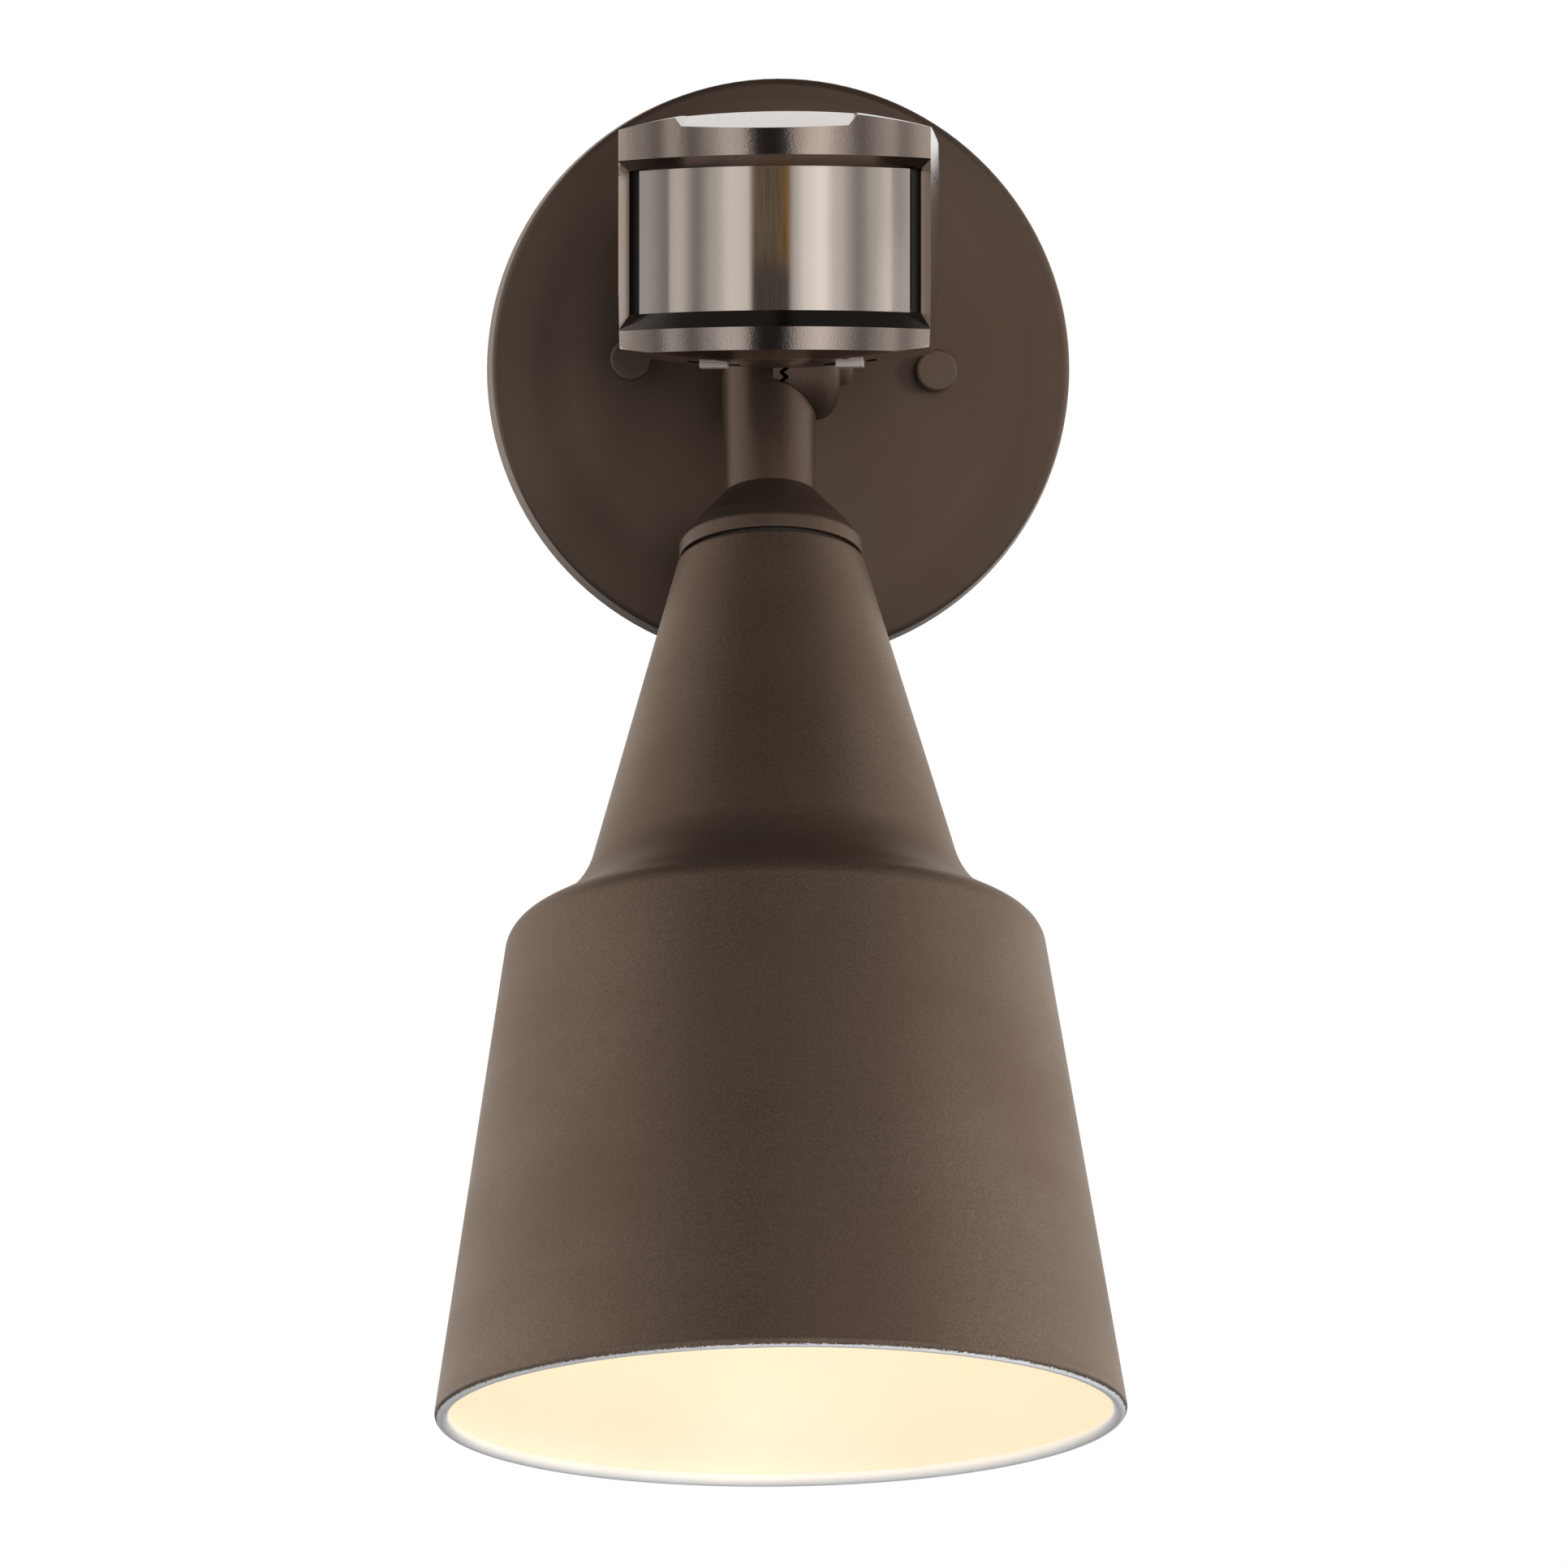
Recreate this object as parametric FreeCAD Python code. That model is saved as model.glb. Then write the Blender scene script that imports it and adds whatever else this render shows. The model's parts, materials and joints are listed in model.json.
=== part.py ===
import FreeCAD, Part
import math
import os

# Outdoor security light for a wall: a round canopy, a short knuckle arm that carries a
# spun bell shade with a reflector bulb, and a motion sensor head on a swivel above it.
# Millimetres. X is to the right, +Y goes into the wall, Z is up. The origin is the centre
# of the canopy's back plane. "Forward" is measured from the wall towards the viewer (-Y).

Vector = FreeCAD.Vector
UP = Vector(0, 0, 1)
RIGHT = Vector(1, 0, 0)
FORWARD = Vector(0, -1, 0)
CENTRE = Vector(0, 0, 0)

# General clearances
body_gap = 0.3
thread_gap = 0.05
running_gap = 0.06
seat_gap = 0.15
full_turn = 360.0
cut_margin = 1.0

# Canopy: a spun steel dish with a sloping brow around a flat front
canopy_radius = 67.5
canopy_front = 15.0
canopy_sheet = 1.2
canopy_side_height = 11.8
canopy_side_draft_deg = 5.8
canopy_edge_round = 2.4
canopy_brow_radius = 55.5
canopy_brow_round = 44.0

# Foam gasket inside the canopy's rim
gasket_width = 6.5
gasket_thickness = 3.0

# Mounting crossbar with two slots for the outlet box and two studs for the canopy
stud_spacing = 69.85
canopy_clock_deg = 1.8
crossbar_thickness = 2.0
crossbar_width = 15.0
crossbar_end_margin = 8.0
crossbar_corner_round = 3.0
stud_boss_radius = 3.8
stud_boss_height = 2.2
slot_spacing = 79.4
slot_length = 14.1
slot_half_width = 2.3
ground_screw_place = 18.0
ground_screw_radius = 2.0
ground_head_radius = 3.7
ground_head_height = 2.2
ground_slot_width = 0.8

# Studs and the round cap nuts that hold the canopy
stud_radius = 2.08
stud_inset = 0.4
stud_hole_margin = 0.5
cap_nut_radius = 4.75
cap_nut_height = 6.0
cap_nut_round = 0.7
cap_nut_wall = 1.4

# Knuckle arm
pivot_forward = 40.0
arm_roll_deg = 0.45
arm_neck_radius = 6.5
arm_neck_reach = 8.0
arm_collar_radius = 12.5
arm_collar_thickness = 3.0
arm_collar_round = 1.2
arm_tube_radius = 10.0
arm_wire_radius = 4.5
ear_wire_radius = 3.2
ear_wire_offset = 4.9
ear_radius = 13.9
ear_outer_face = 11.0
ear_outer_round = 5.3
seam_place = -2.0
tooth_depth = 0.95
tooth_tip_gap = 0.05
tooth_count = 40
tooth_ring_width = 4.4
tooth_root_share = 0.94
tooth_sink = 0.2
serrated_disc_radius = 13.6
serrated_disc_step = 1.45
knuckle_clear = 0.5
knuckle_cavity_radius = 4.4
knuckle_floor = 5.0
locknut_across = 18.0
locknut_thickness = 3.2
lock_washer_radius = 11.0
lock_washer_thickness = 1.2

# Pivot screw and its nut
pivot_screw_radius = 2.4
pivot_head_radius = 6.0
pivot_head_height = 3.2
pivot_head_round = 2.2
pivot_slot_width = 1.1
pivot_slot_depth = 1.2
pivot_nut_across = 8.0
pivot_nut_thickness = 3.0
pivot_nut_recess_margin = 0.4
pivot_nut_sink = 1.0

# Lower arm and lamp, measured along the lamp's own axis down from the pivot
lamp_tilt_deg = 18.3
lamp_axis_place = -4.7
lower_arm_top_radius = 10.7
lower_arm_end_radius = 9.95
lower_arm_length = 32.9
lower_arm_crown = 13.0
lower_arm_crown_round = 8.0
lower_arm_reach = 14.1
lower_wire_top = 12.0

# Socket cap, its gasket and the nipple that clamps the stack
cap_top_radius = 10.15
cap_cone_radius = 17.7
cap_cone_length = 8.3
cap_skirt_radius = 20.3
cap_skirt_start = 12.0
cap_length = 15.2
cap_wall = 2.0
cap_cone_round = 2.0
cap_skirt_round = 1.6
cap_gasket_thickness = 0.4
cap_gasket_outer = 19.1
cap_gasket_width = 4.5
nipple_radius = 4.95
nipple_bore = 3.4
nipple_engagement = 9.0
nipple_nut_across = 15.0
nipple_nut_thickness = 3.5

# Spun shade
shade_wall = 1.2
shade_neck_radius = 20.4
shade_neck_round = 1.8
shade_waist_radius = 42.0
shade_waist_drop = 126.8
shade_waist_round = 22.5
shade_shoulder_radius = 58.0
shade_shoulder_drop = 135.8
shade_shoulder_round = 6.5
shade_rim_radius = 72.9
shade_rim_drop = 240.5
shade_bead_radius = 1.5

# Lamp socket
socket_gap = 2.5
socket_radius = 18.0
socket_length = 48.0
socket_edge_round = 1.5
socket_floor = 16.0
socket_wall = 3.4
socket_nipple_depth = 8.0
screw_shell_wall = 0.8
screw_shell_margin = 2.0
contact_radius = 3.0
contact_height = 3.6
contact_round = 1.0

# Reflector bulb
bulb_screw_radius = 13.1
bulb_thread_pitch = 3.63
bulb_thread_depth = 0.8
bulb_thread_count = 6
bulb_thread_round = 0.6
bulb_contact_radius = 4.5
bulb_contact_height = 2.2
bulb_insulator_radius = 10.5
bulb_insulator_height = 3.0
bulb_neck_radius = 15.0
bulb_neck_length = 9.0
bulb_waist_radius = 31.0
bulb_waist_length = 24.0
bulb_rim_radius = 60.3
bulb_rim_height = 11.0
bulb_body_length = 95.0
bulb_waist_round = 24.0
bulb_rim_round = 14.0
bulb_cup_depth = 36.0
bulb_cup_radius = 50.0
bulb_lens_thickness = 2.6
bulb_lens_rise = 8.0
bulb_lens_inset = 0.8
bulb_board_radius = 47.0
bulb_board_thickness = 1.6

# Sensor post: a cast bracket on the canopy with a fork for the swivel
post_height = 30.0
post_radius = 6.2
post_neck_radius = 5.0
post_neck_reach = 8.0
post_collar_radius = 8.6
post_collar_thickness = 2.5
post_collar_round = 0.8
post_wire_radius = 2.9
post_port_place = 26.0
post_port_radius = 2.4
post_nut_across = 14.0
post_nut_thickness = 3.0
post_washer_radius = 8.4
post_washer_thickness = 1.0
pan_forward = 45.0
pan_rest_deg = -8.0
pan_pin_radius = 2.0
pan_pin_head_radius = 3.5
pan_pin_head_height = 1.2
fork_ear_radius = 5.5
fork_ear_thickness = 2.8
fork_bridge_depth = 6.0

# Swivel knuckle
knuckle_height = 10.2
knuckle_radius = 5.2
tilt_reach = 9.5
tilt_barrel_radius = 4.5
tilt_barrel_width = 10.0
tilt_screw_radius = 2.0
tilt_head_radius = 3.7
tilt_head_height = 2.2
tilt_head_round = 1.0
tilt_ear_thickness = 4.0
tilt_ear_radius = 4.8
tilt_nut_across = 6.4
tilt_nut_thickness = 2.8

# Sensor head, in its own frame: X across, forward from the pan axis, Z up from the arm's axis
head_front_radius = 60.0
head_front_centre = -3.0
head_half_width = 33.7
head_side_flare_deg = 1.0
head_parting_draft_deg = 1.2
head_rear = 16.0
head_rear_round = 4.0
head_wall = 2.0
head_front_wall = 2.7
head_parting = 35.7
head_parting_groove = 0.35
head_top = 50.9
head_top_radius = 130.0
head_top_centre = 30.0
head_belly = -4.9
head_belly_radius = 185.0
head_chin = -3.0
head_chin_slope_deg = 12.4
head_corner_round = 3.0
head_top_corner_round = 1.5
head_tail_top = 18.0
head_tail_forward = 30.0
head_tail_bottom = -4.5
head_wire_radius = 2.4
head_wire_height = 21.0
head_margin = 12.0

# Notch in the top brow
notch_place = -1.4
notch_floor_half = 18.0
notch_top_half = 20.8
notch_depth = 3.4
notch_front_height = 44.35
notch_slope_deg = 14.5

# Lens window and its mitred bevel
window_bottom = 5.65
window_top = 36.5
window_half = 31.5
bevel_bottom = 3.7
bevel_top = 2.15
bevel_side = 2.3
lens_gap = 0.1
lens_thickness = 1.0
lens_half = 29.2
lens_lap = 1.5
lens_return = 6.5
frame_depth = 4.0
frame_bar = 2.2
frame_side_gap = 0.2

# Boards and components inside the sensor head
board_thickness = 1.6
switch_board_height = 2.3
switch_board_rear = 31.0
switch_board_front = 50.0
switch_board_half = 29.0
standoff_radius = 2.2
standoff_place_x = 25.0
standoff_place_forward = 44.0
main_board_forward = 36.0
main_board_half = 28.5
main_board_top = 34.5
detector_height = 21.0
detector_radius = 4.6
detector_depth = 4.2
detector_flange_radius = 5.2
detector_flange_depth = 0.8
detector_window = 4.0
detector_window_depth = 0.4
photocell_place = -14.0
photocell_height = 12.0
photocell_radius = 2.6
photocell_depth = 2.2
led_place = 14.0
led_height = 12.0
led_radius = 1.5
led_depth = 4.0
led_tip_round = 1.4
relay_left = -20.0
relay_width = 19.0
relay_bottom = 18.2
relay_height = 15.0
relay_depth = 15.0
capacitor_left = 4.0
capacitor_width = 17.0
capacitor_bottom = 18.2
capacitor_height = 12.0
capacitor_depth = 11.0
component_round = 0.8

# Screws that close the sensor head
boss_place_x = 25.3
boss_place_forward = 24.4
boss_radius = 4.2
boss_top_radius = 3.6
screw_seat = 27.0
screw_hole_radius = 1.6
screw_well_radius = 2.9
screw_pilot_radius = 1.5
housing_screw_radius = 1.45
housing_screw_head_radius = 2.6
housing_screw_head_height = 2.0
housing_screw_reach = 7.0
screw_pilot_extra = 1.5

# Slide knobs under the sensor head and their switches
on_time_place = -14.0
range_place = 15.6
knob_forward = 36.0
knob_width = 6.0
knob_length = 4.4
knob_bottom = -5.3
knob_top = -1.5
knob_flange_margin = 1.6
knob_flange_thickness = 0.8
knob_stem_width = 2.2
knob_stem_top = 1.3
knob_travel = 2.5
slide_switch_width = 12.0
slide_switch_length = 6.4
slide_switch_bottom = -0.2
slide_switch_slot_extra = 0.5


# ---------------------------------------------------------------- drawing helpers

def plan(x, forward):
    """Point on the horizontal plane."""
    return Vector(x, -forward, 0)


def front(x, z):
    """Point on the plane that faces the viewer."""
    return Vector(x, 0, z)


def side(forward, z):
    """Point on the vertical plane seen from the side."""
    return Vector(0, -forward, z)


def place(x, forward, z):
    return Vector(x, -forward, z)


def rounded_corner(before, here, after, radius):
    """Start, end and arc of a corner rounded to the radius."""
    back = (before - here).normalize()
    onward = (after - here).normalize()
    half = back.getAngle(onward) / 2
    reach = radius / math.tan(half)
    start = here + back * reach
    end = here + onward * reach
    bisector = (back + onward).normalize()
    middle = here + bisector * (radius / math.sin(half) - radius)
    return start, end, Part.Arc(start, middle, end).toShape()


def outline(corners, to_point):
    """Closed face through the corners. A corner's third value rounds it to that radius."""
    count = len(corners)
    points = [to_point(corner[0], corner[1]) for corner in corners]
    pieces = []
    for index, corner in enumerate(corners):
        here = points[index]
        if len(corner) < 3 or corner[2] <= 0:
            pieces.append((here, here, None))
            continue
        before = points[index - 1]
        after = points[(index + 1) % count]
        pieces.append(rounded_corner(before, here, after, corner[2]))
    edges = []
    for index, (start, end, arc) in enumerate(pieces):
        if arc is not None:
            edges.append(arc)
        following = pieces[(index + 1) % count][0]
        if end.distanceToPoint(following) > 1e-6:
            edges.append(Part.makeLine(end, following))
    return Part.Face(Part.Wire(edges))


def turned(corners):
    """Solid of revolution about Z from corners (radius, height, rounding)."""
    return outline(corners, front).revolve(CENTRE, UP, full_turn)


def hung(corners):
    """Solid of revolution about Z from corners (radius, drop, rounding), with the drop downwards."""
    lowered = [(corner[0], -corner[1]) + tuple(corner[2:]) for corner in corners]
    return turned(lowered)


def moved(shape, x, forward, z):
    copy = shape.copy()
    copy.translate(place(x, forward, z))
    return copy


def rotated(shape, axis, angle_deg):
    copy = shape.copy()
    copy.rotate(CENTRE, axis, angle_deg)
    return copy


def facing_forward(shape):
    """Turns a solid built along Z to point forward."""
    return rotated(shape, RIGHT, full_turn / 4)


def facing_right(shape):
    """Turns a solid built along Z to point along +X."""
    return rotated(shape, Vector(0, 1, 0), full_turn / 4)


def rod(radius, start, direction, length):
    return Part.makeCylinder(radius, length, start, direction)


def block(x_range, forward_range, z_range):
    size = [high - low for low, high in (x_range, forward_range, z_range)]
    return Part.makeBox(size[0], size[1], size[2], place(x_range[0], forward_range[1], z_range[0]))


def hexagon(across, bore, thickness):
    """Hexagonal nut on the XY plane, across its flats, with a round bore."""
    corner_radius = across / 2 / math.cos(math.pi / 6)
    corners = []
    for index in range(6):
        angle = index * math.pi / 3
        corners.append((corner_radius * math.cos(angle), corner_radius * math.sin(angle)))
    nut = outline(corners, plan).extrude(UP * thickness)
    return nut.cut(rod(bore, CENTRE, UP, thickness))


def line_meeting(point_a, direction_a, point_b, direction_b):
    """Where two lines of the (radius, height) plane meet."""
    cross = direction_a[0] * direction_b[1] - direction_a[1] * direction_b[0]
    across = (point_b[0] - point_a[0], point_b[1] - point_a[1])
    share = (across[0] * direction_b[1] - across[1] * direction_b[0]) / cross
    return point_a[0] + direction_a[0] * share, point_a[1] + direction_a[1] * share


def sheet_outline(chain, wall):
    """Closed corners of a sheet of even wall along an open chain of (radius, height, rounding).

    The wall lies to the left of the chain's direction. Its ends are cut square to the axes.
    """
    starts = []
    ways = []
    for first, second in zip(chain, chain[1:]):
        run = (second[0] - first[0], second[1] - first[1])
        length = math.hypot(run[0], run[1])
        way = (run[0] / length, run[1] / length)
        ways.append(way)
        starts.append((first[0] - way[1] * wall, first[1] + way[0] * wall))
    inner = [end_corner(chain[0], starts[0], ways[0])]
    for index in range(1, len(ways)):
        met = line_meeting(starts[index - 1], ways[index - 1], starts[index], ways[index])
        turn = ways[index - 1][0] * ways[index][1] - ways[index - 1][1] * ways[index][0]
        rounding = chain[index][2] - math.copysign(wall, turn) if len(chain[index]) > 2 else 0
        inner.append((met[0], met[1], max(rounding, 0)))
    inner.append(end_corner(chain[-1], starts[-1], ways[-1]))
    return list(chain) + inner[::-1]


def end_corner(end, start, way):
    """End of the inner line, level with the outer end along the axis that it crosses."""
    if abs(way[1]) > abs(way[0]):
        share = (end[1] - start[1]) / way[1]
        return start[0] + way[0] * share, end[1]
    share = (end[0] - start[0]) / way[0]
    return end[0], start[1] + way[1] * share


# ---------------------------------------------------------------- canopy and wall fixing

def stud_places():
    """Places of the two canopy studs, turned a little from level as the canopy hangs."""
    clock = math.radians(canopy_clock_deg)
    reach = stud_spacing / 2
    return [(-reach * math.cos(clock), reach * math.sin(clock)),
            (reach * math.cos(clock), -reach * math.sin(clock))]


def canopy_chain():
    draft = canopy_side_height * math.tan(math.radians(canopy_side_draft_deg))
    return [(canopy_radius, 0),
            (canopy_radius - draft, canopy_side_height, canopy_edge_round),
            (canopy_brow_radius, canopy_front, canopy_brow_round),
            (0, canopy_front)]


def canopy():
    dish = facing_forward(turned(sheet_outline(canopy_chain(), canopy_sheet)))
    arm_hole = rod(arm_neck_radius + running_gap, CENTRE, FORWARD, canopy_front + cut_margin)
    post_hole = rod(post_neck_radius + thread_gap, place(0, 0, post_height), FORWARD,
                    canopy_front + cut_margin)
    dish = dish.cut(arm_hole).cut(post_hole)
    for x, z in stud_places():
        hole = rod(stud_radius + stud_hole_margin, place(x, 0, z), FORWARD, canopy_front + cut_margin)
        dish = dish.cut(hole)
    return dish


def wall_gasket():
    draft = math.tan(math.radians(canopy_side_draft_deg))
    foot = canopy_radius - canopy_sheet - seat_gap
    return facing_forward(turned([
        (foot - gasket_width, 0),
        (foot, 0),
        (foot - gasket_thickness * draft, gasket_thickness),
        (foot - gasket_width, gasket_thickness)]))


def crossbar():
    side_reach = stud_spacing / 2 + crossbar_end_margin
    slot_reach = slot_spacing / 2 + slot_length / 2 + crossbar_end_margin / 2
    half = crossbar_width / 2
    level = bar_outline(side_reach, half)
    upright = bar_outline(half, slot_reach)
    bar = level.extrude(FORWARD * crossbar_thickness).fuse(upright.extrude(FORWARD * crossbar_thickness))
    for x, z in stud_places():
        boss = rod(stud_boss_radius, place(x, 0, z), FORWARD, crossbar_thickness + stud_boss_height)
        bar = bar.fuse(boss)
    for x, z in stud_places():
        bar = bar.cut(rod(stud_radius + thread_gap, place(x, -cut_margin, z), FORWARD,
                          crossbar_thickness + stud_boss_height + 2 * cut_margin))
    for z in (-slot_spacing / 2, slot_spacing / 2):
        bar = bar.cut(slot_cutter(z))
    bar = bar.cut(rod(ground_screw_radius + thread_gap, place(-ground_screw_place, -cut_margin, 0), FORWARD,
                      crossbar_thickness + 2 * cut_margin))
    return bar.removeSplitter()


def bar_outline(half_x, half_z):
    corners = [(-half_x, -half_z, crossbar_corner_round), (half_x, -half_z, crossbar_corner_round),
               (half_x, half_z, crossbar_corner_round), (-half_x, half_z, crossbar_corner_round)]
    return outline(corners, front)


def slot_cutter(z):
    """Upright slot for an outlet box screw."""
    straight = slot_length / 2 - slot_half_width
    depth = crossbar_thickness + 2 * cut_margin
    cutter = block((-slot_half_width, slot_half_width), (-cut_margin, depth - cut_margin),
                   (z - straight, z + straight))
    for end in (z - straight, z + straight):
        cutter = cutter.fuse(rod(slot_half_width, place(0, -cut_margin, end), FORWARD, depth))
    return cutter


def ground_screw():
    shank = rod(ground_screw_radius, place(-ground_screw_place, stud_inset, 0), FORWARD,
                crossbar_thickness - stud_inset)
    head = rod(ground_head_radius, place(-ground_screw_place, crossbar_thickness, 0), FORWARD,
               ground_head_height)
    slot = block((-ground_screw_place - ground_head_radius, -ground_screw_place + ground_head_radius),
                 (crossbar_thickness + ground_head_height / 2, crossbar_thickness + ground_head_height),
                 (-ground_slot_width / 2, ground_slot_width / 2))
    return shank.fuse(head).cut(slot)


def stud_end():
    return canopy_front + cap_nut_height - cap_nut_wall - stud_inset


def canopy_studs():
    studs = [rod(stud_radius, place(x, stud_inset, z), FORWARD, stud_end() - stud_inset)
             for x, z in stud_places()]
    return Part.Compound(studs)


def cap_nuts():
    bore_depth = cap_nut_height - cap_nut_wall
    nut = facing_forward(turned([
        (stud_radius + thread_gap, 0),
        (cap_nut_radius, 0),
        (cap_nut_radius, cap_nut_height, cap_nut_round),
        (0, cap_nut_height),
        (0, bore_depth),
        (stud_radius + thread_gap, bore_depth)]))
    return Part.Compound([moved(nut, x, canopy_front, z) for x, z in stud_places()])


# ---------------------------------------------------------------- knuckle arm

def arm_posed(shape):
    """The arm hangs with a small roll about its own axis."""
    return rotated(shape, Vector(0, 1, 0), arm_roll_deg)


def teeth_ring(face_place, tip_place, phase_deg):
    """Radial teeth about the X axis, from a face to their tips, sunk a little into the face."""
    inner = serrated_disc_radius - tooth_ring_width
    pitch = 2 * math.pi / tooth_count
    sink = math.copysign(tooth_sink, face_place - tip_place)
    widen = (abs(tip_place - face_place) + tooth_sink) / abs(tip_place - face_place)
    teeth = []
    for index in range(tooth_count):
        sections = []
        for radius in (inner, serrated_disc_radius):
            half = radius * pitch / 2 * tooth_root_share * widen
            half = min(half, radius * pitch / 2)
            corners = [Vector(face_place + sink, -half, radius), Vector(face_place + sink, half, radius),
                       Vector(tip_place, 0, radius)]
            sections.append(Part.makePolygon(corners + corners[:1]))
        tooth = Part.makeLoft(sections, True, True)
        tooth.rotate(CENTRE, RIGHT, phase_deg + index * full_turn / tooth_count)
        teeth.append(tooth)
    return teeth


def upper_arm():
    collar_start = canopy_front + body_gap
    collar_end = collar_start + arm_collar_thickness
    neck_start = canopy_front - arm_neck_reach
    body = rod(arm_neck_radius, place(0, neck_start, 0), FORWARD, collar_end - neck_start)
    collar = facing_forward(turned([
        (0, collar_start), (arm_collar_radius, collar_start),
        (arm_collar_radius, collar_end, arm_collar_round), (0, collar_end)]))
    tube = rod(arm_tube_radius, place(0, collar_start, 0), FORWARD, pivot_forward - collar_start)
    body = body.fuse(collar).fuse(tube)
    face = seam_place + tooth_tip_gap + tooth_depth
    sweep = rod(lower_arm_reach + knuckle_clear, place(face - 4 * ear_radius, pivot_forward, 0), RIGHT,
                4 * ear_radius)
    body = body.cut(sweep)
    ear = facing_right(turned([
        (0, face), (ear_radius, face), (ear_radius, ear_outer_face, ear_outer_round), (0, ear_outer_face)]))
    body = body.fuse(moved(ear, 0, pivot_forward, 0))
    teeth = [moved(tooth, 0, pivot_forward, 0)
             for tooth in teeth_ring(face, seam_place + tooth_tip_gap, 0)]
    body = body.fuse(teeth)
    cavity_end = ear_outer_face - knuckle_floor
    cavity = rod(knuckle_cavity_radius, place(face - cut_margin, pivot_forward, 0), RIGHT,
                 cavity_end - face + cut_margin)
    screw_bore = rod(pivot_screw_radius + running_gap, place(face, pivot_forward, 0), RIGHT,
                     ear_outer_face - face + cut_margin)
    wire_turn = pivot_forward - lower_arm_reach - knuckle_clear - ear_wire_radius
    wire_bore = rod(arm_wire_radius, place(0, neck_start - cut_margin, 0), FORWARD,
                    wire_turn - neck_start + cut_margin)
    ear_bore = rod(ear_wire_radius, place(ear_wire_offset, wire_turn - arm_wire_radius, 0), FORWARD,
                   pivot_forward - wire_turn + arm_wire_radius)
    body = body.cut(cavity).cut(screw_bore).cut(wire_bore).cut(ear_bore)
    return arm_posed(body.removeSplitter())


def arm_lock_washer():
    start = canopy_front - canopy_sheet - body_gap - lock_washer_thickness
    ring = rod(lock_washer_radius, place(0, start, 0), FORWARD, lock_washer_thickness)
    bore = rod(arm_neck_radius + thread_gap, place(0, start, 0), FORWARD, lock_washer_thickness)
    return arm_posed(ring.cut(bore))


def arm_locknut():
    start = canopy_front - canopy_sheet - body_gap - lock_washer_thickness - locknut_thickness
    nut = facing_forward(hexagon(locknut_across, arm_neck_radius + thread_gap, locknut_thickness))
    return arm_posed(moved(nut, 0, start, 0))


def lower_ear_face():
    """Outermost line of the lower arm's side, where the pivot nut goes in."""
    return lamp_axis_place - lower_arm_top_radius - seat_gap


def nut_recess_floor():
    return lower_ear_face() + pivot_nut_sink + pivot_nut_thickness + body_gap + seat_gap


def pivot_screw():
    start = nut_recess_floor() - seat_gap - pivot_nut_thickness
    shank = rod(pivot_screw_radius, place(start, pivot_forward, 0), RIGHT, ear_outer_face - start)
    head = facing_right(turned([
        (0, 0), (pivot_head_radius, 0), (pivot_head_radius, pivot_head_height, pivot_head_round),
        (0, pivot_head_height)]))
    head = moved(head, ear_outer_face, pivot_forward, 0)
    top = ear_outer_face + pivot_head_height
    slots = block((top - pivot_slot_depth, top),
                  (pivot_forward - pivot_head_radius / 2, pivot_forward + pivot_head_radius / 2),
                  (-pivot_slot_width / 2, pivot_slot_width / 2))
    cross = block((top - pivot_slot_depth, top),
                  (pivot_forward - pivot_slot_width / 2, pivot_forward + pivot_slot_width / 2),
                  (-pivot_head_radius / 2, pivot_head_radius / 2))
    return arm_posed(shank.fuse(head).cut(slots.fuse(cross)))


def pivot_nut():
    nut = facing_right(hexagon(pivot_nut_across, pivot_screw_radius + thread_gap, pivot_nut_thickness))
    start = nut_recess_floor() - seat_gap - pivot_nut_thickness
    return arm_posed(moved(nut, start, pivot_forward, 0))


# ---------------------------------------------------------------- lamp, in its own frame

def lamp_posed(shape):
    """From the lamp's frame, pivot at the origin and axis down, to its resting place."""
    tilted = rotated(shape, RIGHT, -lamp_tilt_deg)
    return arm_posed(moved(tilted, 0, pivot_forward, 0))


def on_lamp_axis(shape):
    return lamp_posed(moved(shape, lamp_axis_place, 0, 0))


def cap_start():
    return lower_arm_length


def shade_start():
    return cap_start() + cap_length + cap_gasket_thickness


def socket_start():
    return shade_start() + shade_wall + nipple_nut_thickness + socket_gap


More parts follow.
